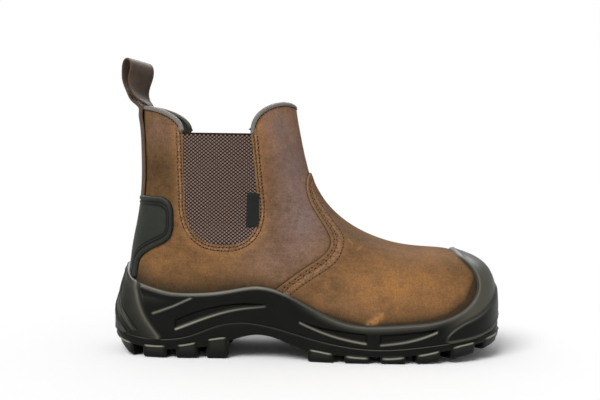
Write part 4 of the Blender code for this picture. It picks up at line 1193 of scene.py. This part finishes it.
def wall_points(places, side, climb, swing, rise=TUCK_RISE):
    """Points where rays climbing from the foot's middle leave the last's surface."""
    x, y, ahead, aside = edge_frame(places, side, swing)
    base = floor_height(x)

    def ray(reach):
        flat = reach * np.cos(climb)
        return x + flat * ahead, y + flat * aside, base + reach * np.sin(climb)

    reach = bisected(np.shape(climb), 0.0, RAY_REACH, lambda reach: is_inside(*ray(reach), rise))
    return np.stack(ray(reach), axis=-1)


def faired(grid):
    """The grid made smooth where the heel's sections meet the floor's, by averaging neighbours."""
    pull = HEEL_FAIR["pull"] * bell(COARSE_PLACES[1:-1] - HEEL_FAIR["place"], HEEL_FAIR["reach"])[:, None]
    for _ in range(HEEL_FAIR["rounds"]):
        middle = (grid[..., :-2, :] + grid[..., 2:, :]) / 2
        grid[..., 1:-1, :] += pull * (middle - grid[..., 1:-1, :])
    return grid


def foot_curves(rise):
    """For each side, the last's foot in plan as a curve over places."""
    level = np.zeros_like(COARSE_PLACES)
    feet = [wall_points(COARSE_PLACES, side, level, 0.0, rise) for side in (0, 1)]
    return [Spline(COARSE_PLACES, faired(foot)) for foot in feet]


FOOT_CURVES = foot_curves(TUCK_RISE)


def sole_ring(places, side, out, height, curves=FOOT_CURVES):
    """Points round the sole this far outside the last's foot, at a height given along X or as values."""
    _, _, ahead, aside = edge_frame(places, side)
    ring = curves[side](places)
    x, y = ring[..., 0] + ahead * out, ring[..., 1] + aside * out
    return np.stack([x, y, height(x) if callable(height) else np.broadcast_to(height, x.shape)], axis=-1)


def round_both(outer, inner):
    """Rings round the whole foot from those of its outer and inner side."""
    return np.concatenate([outer, inner[:, -2:0:-1]], axis=1)


def slab_rings(places, margin, levels, low, high, curves=FOOT_CURVES):
    """Rings of a slab round the foot: each level moved out, at a share of the way between two heights."""
    sides = []
    for side in (0, 1):
        rings = []
        for out, share in levels:
            height = lambda x: low(x) + (high(x) - low(x)) * share
            rings.append(sole_ring(places, side, margin + out, height, curves))
        sides.append(np.stack(rings))
    return round_both(*sides)


# Relief of the wall. Flutes in the side view: lower and upper curve, ends along X, and painted highlight at
# both ends
LENSES = (
    {
        "low": ((-101, 22.8), (-80, 31.0), (-57.5, 37.8), (-32, 41.4)),
        "top": ((-102, 29.4), (-87.7, 35.4), (-68.8, 40.6), (-50, 43.0), (-32, 42.6)),
        "ends": (-101.5, -32),
        "painted_highlight": (0.9, 0.15),
    },
    {
        "low": ((-8, 31.1), (10, 23.9), (29, 18.5), (45, 15.6)),
        "top": ((-8, 31.6), (3, 28.4), (25, 24.6), (45, 22.4)),
        "ends": (-6, 45),
        "painted_highlight": (0.4, 0.6),
    },
    {
        "low": ((55, 14.6), (70, 16.4), (85, 19.6), (100, 24.9)),
        "top": ((55, 22.0), (78, 23.8), (100, 26.4)),
        "ends": (55.5, 99),
        "painted_highlight": (0.4, 0.6),
    },
)
# Slash over the heel in the side view, crest of the blade down the heel as x over height
HEEL_SLASH = ((-118.5, 34.6), (-104, 40.0), (-90, 46.4))
BLADE = ((17.0, -113.0), (30.0, -122.6), (40.0, -127.4), (53.0, -131.4), (66.0, -133.6))
# Ribs round the back as place over height, and the toe's step and rim as height over place, level at the
# middle plane
RIBS = (
    ((20, 303), (36, 315), (50, 324), (66, 331)),
    ((17, 310), (30, 321), (42, 329), (56, 335)),
)
TOE_STEP = (
    (-21, 46.5), (-10, 53.0), (0, 55.4), (10, 53.0), (21, 46.5), (33, 39.5), (45, 34.0), (56, 29.5),
    (62, 25.0), (67, 19.0),
)
TOE_RIM = (
    (-20, 27.0), (-10, 31.4), (0, 33.2), (10, 31.4), (20, 27.0), (32, 22.3), (48, 18.8), (64, 16.6),
)
TOE_FULLNESS = {"x": 143.0, "z": 68.0, "reach": 15.0, "out": 2.6}
HEEL_HOLLOW = {"z": 48.0, "width": 13.0, "depth": 2.8}
# Painted highlight along the lip over x
LIP_PAINTED_HIGHLIGHT = ((-140, 0.1), (-126, 0.5), (-40, 0.6), (-10, 0.2), (30, 0.07))


def lens(x, z, shape):
    """Sunk flute between two curves of the side view, with a ridge under it lit by a painted highlight:
    relief and painted highlight.
    """
    low, top = (line_through(shape[edge])(x) for edge in ("low", "top"))
    start, end = shape["ends"]
    inside = ease(0.0, 1.4, z - low) * ease(0.0, 2.0, top + 0.8 - z)
    span = ease(start - 0.8, start + 0.8, x) * ease(-end - 0.8, -end + 0.8, -x)
    relief = (-2.1 * inside + 0.7 * bell(z - low + 0.7, 1.2)) * span
    shine = np.interp(x, (start, end), shape["painted_highlight"])
    return relief, shine * bell(z - low + 0.2, 0.7) * span


def moulding(places, x, z):
    """Relief and painted highlights of the sole's wall: flutes, slash, ribs round the back, toe lines and
    fullness, with a broad painted sheen on the bumper's face.
    """
    relief, painted_highlight = sum(np.array(lens(x, z, shape)) for shape in LENSES)
    slash = np.array(HEEL_SLASH)
    near = to_line(x, z, slash)
    above = z - np.interp(x, *slash.T)
    relief += (0.7 - 1.4 * ease(-0.8, 0.8, above)) * bell(near, 2.2)
    painted_highlight += 0.36 * bell(near, 0.75)
    for rib in RIBS:
        rib_z, rib_place = zip(*rib)
        away = places - np.interp(z, rib_z, rib_place)
        on = ease(rib_z[0] - 1, rib_z[0] + 2, z) * ease(-rib_z[-1] - 1, -rib_z[-1] + 2, -z)
        relief += (0.9 * bell(away - 1.9, 1.4) - 1.4 * bell(away, 1.2)) * on
        painted_highlight += 0.12 * bell(away - 1.9, 0.8) * on
    over = line_through(TOE_STEP)(places) - z
    ahead = ease(-69.0, -64.0, -places)
    relief += 1.3 * ease(-1.5, 1.5, over) * ahead * np.exp(-np.maximum(over, 0) / 16.0)
    painted_highlight += 0.15 * bell(over - 0.4, 1.0) * ahead
    painted_highlight += 0.2 * ease(100.0, 130.0, x) * ease(-0.5, 4.0, -over) * ease(-84.0, -62.0, -z)
    rim = line_through(TOE_RIM)(places) - z
    relief += (0.7 * bell(rim, 1.5) - 0.8 * bell(rim - 3.0, 1.7)) * ahead
    painted_highlight += 0.2 * bell(rim + 0.2, 1.0) * ahead
    full, hollow = TOE_FULLNESS, HEEL_HOLLOW
    relief += full["out"] * bell(x - full["x"], full["reach"]) * bell(z - full["z"], full["reach"])
    relief -= hollow["depth"] * bell(z - hollow["z"], hollow["width"]) * ease(300.0, 322.0, places)
    return relief, painted_highlight


def blade(x, z):
    """Crest down the heel's side, upright on its front and falling away behind: relief and painted highlight.
    """
    behind = line_through(BLADE)(z) - x
    crest = 2.2 * ease(-2.4, 1.4, behind) * np.exp(-np.maximum(behind - 1.4, 0) / 9.0)
    soft = ease(0.0, 1.5, behind) * np.exp(-np.maximum(behind - 1.5, 0) / 7.0)
    return crest, 0.14 * bell(behind - 1.2, 1.6) + 0.13 * soft


def wall_normals(grid, side):
    """Unit normals out of the sole's wall, kept in the middle plane at the toe and heel."""
    normal = np.cross(np.gradient(grid, axis=1), np.gradient(grid, axis=0)) * (-1 if side == 0 else 1)
    normal[:, [0, -1], 1] = 0.0
    return unit(normal)


def below_top(grid):
    """Distance down each column from the grid's last row."""
    step = np.linalg.norm(np.diff(grid, axis=0), axis=-1)
    return np.concatenate([np.cumsum(step[::-1], axis=0)[::-1], np.zeros((1, grid.shape[1]))])


def midsole_rings(side):
    """Rings of the midsole, from the parting line up its wall and over the lip, and their painted highlights.
    The wall is the last's surface moved out by the margin with a rolled lip, and the moulding is added
    along its normal."""
    edge = EDGE_CURVE(COARSE_PLACES)
    bottom = sole_ring(COARSE_PLACES, side, edge["margin"], parting_height)
    middle_x, middle_y, _, _ = edge_frame(COARSE_PLACES, side)
    reach = np.hypot(bottom[:, 0] - middle_x, bottom[:, 1] - middle_y)
    start = np.arctan2(np.maximum(bottom[:, 2] + WALL_FOOT - floor_height(middle_x), 0.0), reach)
    steps = WALL_STEPS[:, None]
    climb = start + (np.radians(edge["lip"]) - start) * steps
    swing = steps**SWING_POWER * edge["swing"]
    coarse = faired(wall_points(np.broadcast_to(COARSE_PLACES, climb.shape), side, climb, swing))
    base = refined(coarse, WALL_STEPS, FINE_STEPS, COARSE_PLACES, FINE_PLACES)
    normal = wall_normals(base, side)
    margin = EDGE_CURVE(FINE_PLACES)["margin"]
    thick = LIP_THICKNESS + (margin - LIP_THICKNESS) * (1 - FINE_STEPS[:, None] ** 2)
    down = below_top(base)
    bead = LIP_BEAD * bell(down - 2.4, 2.4)
    wall = base + normal * (-0.5 + (thick + 0.5 + bead) * rolled(down / 2.6))[..., None]
    foot = sole_ring(FINE_PLACES, side, margin - 0.3, parting_height)
    skirt = foot + (wall[0] - foot) * np.linspace(0, 1, SKIRT_ROWS)[:-1, None, None]
    wall = np.concatenate([skirt, wall])
    down = below_top(wall)
    x, z = wall[..., 0], wall[..., 2]
    relief, painted_highlight = moulding(FINE_PLACES, x, z)
    crest, shine = blade(x, z)
    keep = ease(4.0, 6.5, down)
    heel = (FINE_PLACES > HEEL_TURN - 12) * ease(1.0, 4.5, down)
    relief = relief * keep + crest * heel
    # Painted highlights: the moulding's and the blade's, a line along the lip and a broad band on the
    # forefoot's roll.
    painted_highlight = painted_highlight * keep + shine * heel + np.interp(x, *zip(*LIP_PAINTED_HIGHLIGHT)) * bell(down - 2.7, 1.6)
    painted_highlight = painted_highlight + 0.15 * ease(-20.0, 30.0, x) * bell(down - 5.6, 2.6)
    wall = wall + wall_normals(wall, side) * relief[..., None]
    sink = np.stack([base[row] - normal[row] * LIP_SINK for row in (-1, 0)])
    unlit = np.zeros((2, len(FINE_PLACES)))
    return np.concatenate([wall, sink]), np.concatenate([np.clip(painted_highlight, 0, 1), unlit])


def make_midsole():
    """Midsole: the rings of both sides as one tube, closed under the foot."""
    rings, painted_highlight = (round_both(*halves) for halves in zip(midsole_rings(0), midsole_rings(1)))
    shape = (rings, tube_quads(*rings.shape[:2]), {"painted_highlight": painted_highlight})
    piece("midsole_wall", "midsole", [shape], (FOAM,), outward=True)


TOE_LUGS = {"pitch": 27.4, "length": 19.4, "count": 7}
HEEL_LUGS = {"pitch": 23.2, "length": 16.2, "count": 5}
LUG_DEPTH = 20.0
# Profile of a lug: out from the rim, proud at the dash, drawn in at the back of the heel, drawn in at the
# lug's ends, and painted highlight
LUG_PROFILE = (
    (-4.0, 0, 0, 0, 0),
    (0.2, 0, 0, 1, 0),
    (0.5, 0, 0.2, 1, 0.05),
    (0.5, 0.9, 0.3, 1, 0.75),
    (0.5, 0.9, 0.4, 1, 0.5),
    (0.5, 0, 0.5, 1, 0.05),
    (0.3, 0, 0.8, 1, 0),
    (-0.5, 0, 1.0, 1.4, 0),
    (-2.0, 0, 1.0, 1.8, 0),
    (2.4 - LUG_DEPTH, 0, 0, -1, 0),
    (1.0 - LUG_DEPTH, 0, 0, -1, 0),
    (-LUG_DEPTH, 0, 0, -1, 0),
)
# Height of the dash as a share of the way from ground to rim, over x
DASH_SHARE = ((-150, 0.6), (-85, 0.62), (9, 0.5), (36, 0.4), (64, 0.38), (92, 0.54), (117, 0.75), (150, 0.75))
# Along a lug from one end: how far it is drawn in, and how much of its dash shows
LUG_DRAW = np.concatenate([[0.9, 0.2], np.zeros(9), [0.2, 0.9]])
LUG_DASHED = np.concatenate([[0, 0, 0.4], np.ones(7), [0.4, 0, 0]])
# Bars across the tread: x, half width, length and sweep
BARS = (
    (-104, 14.0, 11.0, 5.0), (-80, 13.0, 11.0, 5.0), (10, 21.0, 12.0, 7.0), (38, 25.0, 12.0, 7.0),
    (66, 26.0, 12.0, 7.0), (94, 22.0, 12.0, 7.0),
)
# Levels of the slab: out from the tread's margin, and share of the way from parting line to underside
SLAB_LEVELS = ((-0.8, 0.0), (0.1, 0.03), (0.5, 0.12), (0.6, 0.4), (0.5, 0.75), (0.0, 0.95), (-1.0, 1.0))
# Painted highlight along the outsole's rim over x
RIM_PAINTED_HIGHLIGHT = ((-120, 0.18), (-60, 0.06), (0, 0.09), (40, 0.25), (120, 0.25))
TREAD_SHARP_DEG = 42.0


def tread_margin(places):
    """How far the tread stands outside the last's foot: the sole's margin, drawn in round the heel."""
    return EDGE_CURVE(places)["margin"] - 2.0 * ease(298.0, 322.0, places)


def lug_sections(places, side, draw, dashed):
    """Sections of a lug across the band of tread under the rim, and their painted highlights: a profile with
    a proud dash lit by a painted highlight and a rounded foot, carried along the sole's edge and drawn in at
    its ends, where the dash is left off."""
    draw, dashed = draw[:, None], dashed[:, None]
    margin = tread_margin(places)
    rim = sole_ring(places, side, margin, parting_height)
    x, rim_z = rim[:, :1], rim[:, 2:]
    ground = ground_height(x)
    top = rim_z - 2.2
    dash = ground + (rim_z - ground) * np.interp(x, *zip(*DASH_SHARE))
    low = np.minimum(ground + 2.4, dash - 2.2)
    back = 3.0 * ease(300.0, 325.0, places)[:, None]
    outs, proud, taper, inward, shine = np.array(LUG_PROFILE, float).T
    out = margin[:, None] + outs + proud * dashed - taper * back - draw * inward
    heights = np.concatenate([
        top, top, dash + 0.9, dash + 0.4, dash - 0.35, dash - 0.9, low, ground + 0.7, ground, ground,
        ground + 1.4, base_height(x) + 2.0,
    ], axis=1)
    heights[:, 7:10] += draw
    heights[:, 6:9] += 0.5 * back
    points = sole_ring(np.broadcast_to(places[:, None], out.shape), side, out, heights)
    points[:, 8:10, 2] = np.maximum(points[:, 8:10, 2], ground_height(points[:, 8:10, 0]))
    return points, dashed * shine


def lug_shapes(rule, from_heel):
    """Lugs at an even pitch from the toe's or the heel's middle, the first one whole, the rest in pairs."""
    half = rule["length"] / 2
    span = np.concatenate([[-half, -half + 0.9], np.linspace(-half + 2, half - 2, 9), [half - 0.9, half]])
    shapes = []
    for i in range(rule["count"]):
        at = span + i * rule["pitch"]
        keep = at >= 0
        places = EDGE_END - at[keep] if from_heel else at[keep]
        lugs = [lug_sections(places, side, LUG_DRAW[keep], LUG_DASHED[keep]) for side in (0, 1)]
        if i == 0:
            lugs = [[np.concatenate([outer[::-1], inner[1:]]) for outer, inner in zip(*lugs)]]
        shapes += [(points, tube_quads(*points.shape[:2]), {"painted_highlight": painted_highlight}) for points, painted_highlight in lugs]
    return shapes


def bar_shape(x, half_width, length, sweep):
    """Chevron bar across the tread, its point to the toe: its outline at three heights, chamfered below."""
    ahead, back = x + length / 2, x - length / 2
    plan = np.array([
        (back, -half_width), (ahead, -half_width), (ahead + sweep, 0), (ahead, half_width),
        (back, half_width), (back + sweep, 0),
    ])
    small = plan.mean(axis=0) + (plan - plan.mean(axis=0)) * np.array([0.82, 0.95])
    heights = (base_height(plan[:, 0]) + 1.0, ground_height(plan[:, 0]) + 1.0, ground_height(small[:, 0]))
    rings = [np.column_stack(ring) for ring in zip((plan, plan, small), heights)]
    return np.array(rings), tube_quads(len(rings), len(plan)), {"painted_highlight": 0.0}


def make_outsole():
    """Outsole: a slab under the parting line with a rounded rim, and every lug and bar of its tread."""
    slab = slab_rings(FINE_PLACES, tread_margin(FINE_PLACES), SLAB_LEVELS, parting_height, base_height)
    painted_highlight = np.zeros(slab.shape[:2])
    # Painted highlight along the rim's rounded edge
    painted_highlight[1] = np.interp(slab[1, :, 0], *zip(*RIM_PAINTED_HIGHLIGHT))
    shapes = [(slab, tube_quads(*slab.shape[:2]), {"painted_highlight": painted_highlight})]
    shapes += lug_shapes(TOE_LUGS, False) + lug_shapes(HEEL_LUGS, True)
    shapes += [bar_shape(*row) for row in BARS]
    piece(
        "tread", "outsole", shapes, (RUBBER,), 0.0, outward=True,
        sharp_deg=TREAD_SHARP_DEG,
    )


INSOLE_INSET = 6.0
INSOLE_FOOT = 0.05
INSOLE_LIFT = 0.3
INSOLE_THICKNESS = 4.0
# Levels of the footbed: out from its edge, and share of its thickness
INSOLE_LEVELS = ((0.0, 0.0), (0.0, 0.75), (-0.4, 0.93), (-1.2, 1.0), (-6.0, 0.94), (-12.0, 0.9))


def make_insole():
    """Footbed: rings round the foot inside the lining, its top edge rounded and dished a little."""
    low = lambda x: floor_height(x) + INSOLE_LIFT
    high = lambda x: low(x) + INSOLE_THICKNESS
    rings = slab_rings(FINE_PLACES[::2], -INSOLE_INSET, INSOLE_LEVELS, low, high, foot_curves(INSOLE_FOOT))
    shape = (rings, tube_quads(*rings.shape[:2]), {})
    piece("footbed", "insole", [shape], (FELT,), outward=True)


# Pull loop

STRAP_WIDTH = 24.0
STRAP_THICKNESS = 1.9
STRAP_CLEAR = (0.35, 1.3)
STRAP_OUTSIDE_Z = (121.0, 128.0, 142.0, 158.0, 174.0, 182.0, 188.0, 193.0)
STRAP_INSIDE_Z = (193.0, 187.0, 178.0, 168.0)
STRAP_OVER_BINDING_Z = (176.0, 186.0)
STRAP_INSIDE_CLEAR = 0.1
STRAP_COLUMNS = 7
STRAP_FINE_ROWS = 190
STRAP_FINE_COLUMNS = 25
BACK_SPAN_X = (-160.0, -84.0)
# Loop's own plane: distance along it and height
LOOP = (
    (-1.2, 197.5), (-2.9, 203.0), (-3.7, 208.0), (-3.9, 213.0), (-4.0, 218.0), (-3.8, 222.5), (-2.2, 227.0),
    (1.0, 229.2), (4.4, 228.2), (6.3, 224.8), (6.2, 220.5), (4.2, 215.5), (2.0, 210.0),
    (1.9, 204.5), (4.2, 199.0),
)
LOOP_TILT = 0.17
LOOP_X = -137.7
LOOP_TWIST_DEG = 42.0
LOOP_TWIST_Z = (190.0, 214.0)


def back_x(y, z):
    """X of the upper's back wall at sideways distance y and height z."""
    y, z = np.broadcast_arrays(np.asarray(y, float), np.asarray(z, float))

    def is_behind(x):
        _, row, t = section_through(x, z)
        reach = np.where(y < 0, -side_y(row, t, 0), side_y(row, t, 1))
        return (t <= 0) | (reach <= np.abs(y))

    return bisected(y.shape, *BACK_SPAN_X, is_behind)


def back_line(across, z, out):
    """Points over the strap's width on the back wall, moved this far outward level with the floor."""
    slope = (back_x(across + SLOPE_STEP, z) - back_x(across - SLOPE_STEP, z)) / (2 * SLOPE_STEP)
    normal = unit(np.stack([-np.ones_like(across), slope, np.zeros_like(across)], axis=-1))
    return np.stack([back_x(across, z), across, np.full_like(across, z)], axis=-1) + normal * out


def strap_lines():
    """Middle lines of the strap across its width: up the back, round the loop and down inside."""
    across = np.linspace(-0.5, 0.5, STRAP_COLUMNS) * STRAP_WIDTH
    clear = lambda z: np.interp(z, STRAP_OVER_BINDING_Z, STRAP_CLEAR) + STRAP_THICKNESS / 2
    bow = back_x(across, LOOP_TWIST_Z[0]) - back_x(0.0, LOOP_TWIST_Z[0])
    loop = []
    for along, z in LOOP:
        share = np.interp(z, LOOP_TWIST_Z, (0, 1))
        twist = np.radians(share * LOOP_TWIST_DEG)
        x = LOOP_X + along * np.cos(twist) + across * np.sin(twist) + bow * (1 - share)
        y = across * np.cos(twist) - along * np.sin(twist)
        loop.append(np.stack([x, y, z - share * LOOP_TILT * across], axis=-1))
    up = [back_line(across, z, clear(z)) for z in STRAP_OUTSIDE_Z]
    down = [back_line(across, z, -WALL - clear(z) - STRAP_INSIDE_CLEAR) for z in STRAP_INSIDE_Z]
    return np.array(up + loop + down)


def make_pull_loop():
    """Strap: its middle lines made smooth along the strap, and both faces half a thickness out, thinned
    to round edges."""
    lines = strap_lines()
    run = run_of(lines[:, STRAP_COLUMNS // 2])
    share = np.sin(np.linspace(-np.pi / 2, np.pi / 2, STRAP_FINE_COLUMNS))
    along = np.linspace(0, run[-1], STRAP_FINE_ROWS)
    middle = refined(lines, run, along, np.linspace(-1, 1, STRAP_COLUMNS), share)
    normal = unit(np.cross(np.gradient(middle, axis=0), np.gradient(middle, axis=1)))
    half = normal * (STRAP_THICKNESS / 2 * np.sqrt(np.maximum(1 - np.abs(share) ** 14, 0)))[:, None]
    loops = round_both(middle + half, middle - half)
    edge = bell(1 - np.abs(np.concatenate([share, share[-2:0:-1]])), 0.05)
    shape = (loops, tube_quads(*loops.shape[:2]), {"edge": edge})
    piece("pull_strap", "pull_loop", [shape], (STRAP,), outward=True)


make_panels()
make_gore(0, "elastic_outer", "gore_outer")
make_gore(1, "elastic_inner", "gore_inner")
make_tag()
make_stitching()
make_binding("rear")
make_binding("front")
make_counter()
make_midsole()
make_outsole()
make_insole()
make_pull_loop()


# Floor, light and camera

FLOOR_REACH_M = 30.0
WORLD_LIGHT = 0.5


def stand(name, data, place, target, roll_deg=0.0):
    """New lamp or camera at a place in millimetres, looking at a target, its right side rolled up."""
    way = unit(np.array(target, float) - np.array(place, float))
    right = unit(np.cross(way, (0, 0, 1)))
    up = np.cross(right, way)
    roll = np.radians(roll_deg)
    right, up = right * np.cos(roll) + up * np.sin(roll), up * np.cos(roll) - right * np.sin(roll)
    matrix = np.eye(4)
    matrix[:3] = np.stack([right, up, -way, np.array(place) * MM], axis=1)
    thing = bpy.data.objects.new(name, data)
    thing.matrix_world = Matrix(matrix.tolist())
    bpy.context.scene.collection.objects.link(thing)
    return thing


def make_floor():
    """Plain pale matt floor."""
    mesh = bpy.data.meshes.new("studio_floor")
    corners = [(FLOOR_REACH_M * x, FLOOR_REACH_M * y, 0) for x, y in ((-1, -1), (1, -1), (1, 1), (-1, 1))]
    mesh.from_pydata(corners, [], [(0, 1, 2, 3)])
    surface, tree = blank("studio_floor")
    inputs = {"Base Color": linear("#fdfdfd"), "Roughness": 0.9, "Specular IOR Level": 0.0}
    add(tree, "OutputMaterial", {"Surface": add(tree, "BsdfPrincipled", inputs)})
    mesh.materials.append(surface)
    floor = bpy.data.objects.new("studio_floor", mesh)
    bpy.context.scene.collection.objects.link(floor)


def make_light():
    """White studio: an even surround, a broad soft sun, and a softbox overhead that only shows as gloss."""
    world = bpy.data.worlds.new("studio")
    bpy.context.scene.world = world
    world.use_nodes = True
    tree = world.node_tree
    tree.nodes.clear()
    seen = add(tree, "LightPath", output="Is Camera Ray")
    strength = add(tree, "Math", {0: seen, 1: WORLD_LIGHT}, operation="MAXIMUM")
    surround = add(tree, "Background", {"Color": linear(WHITE), "Strength": strength})
    add(tree, "OutputWorld", {"Surface": surround})
    sun = bpy.data.lights.new("soft_sky", "SUN")
    sun.energy = 2.3
    sun.angle = np.radians(32)
    stand("soft_sky", sun, (-400, -650, 900), (0, 0, 80))
    box = bpy.data.lights.new("overhead_softbox", "AREA")
    box.shape = "RECTANGLE"
    box.size = 1.3
    box.size_y = 1.1
    box.energy = 52.0
    softbox = stand("overhead_softbox", box, (0, 330, 850), (0, 0, 60))
    softbox.visible_diffuse = False
    softbox.visible_camera = False
    bpy.context.scene.view_settings.view_transform = "Standard"


def make_camera():
    """Camera at the photo's place: a little below the collar's top, pitched down and rolled toe down."""
    data = bpy.data.cameras.new("photo_camera")
    data.sensor_width = 36.0
    data.lens = 63.7
    data.clip_start = 0.01
    bpy.context.scene.camera = stand("photo_camera", data, (-6.6, -850, 175), (-6.6, 0, 120.6), 0.7)


make_floor()
make_light()
make_camera()
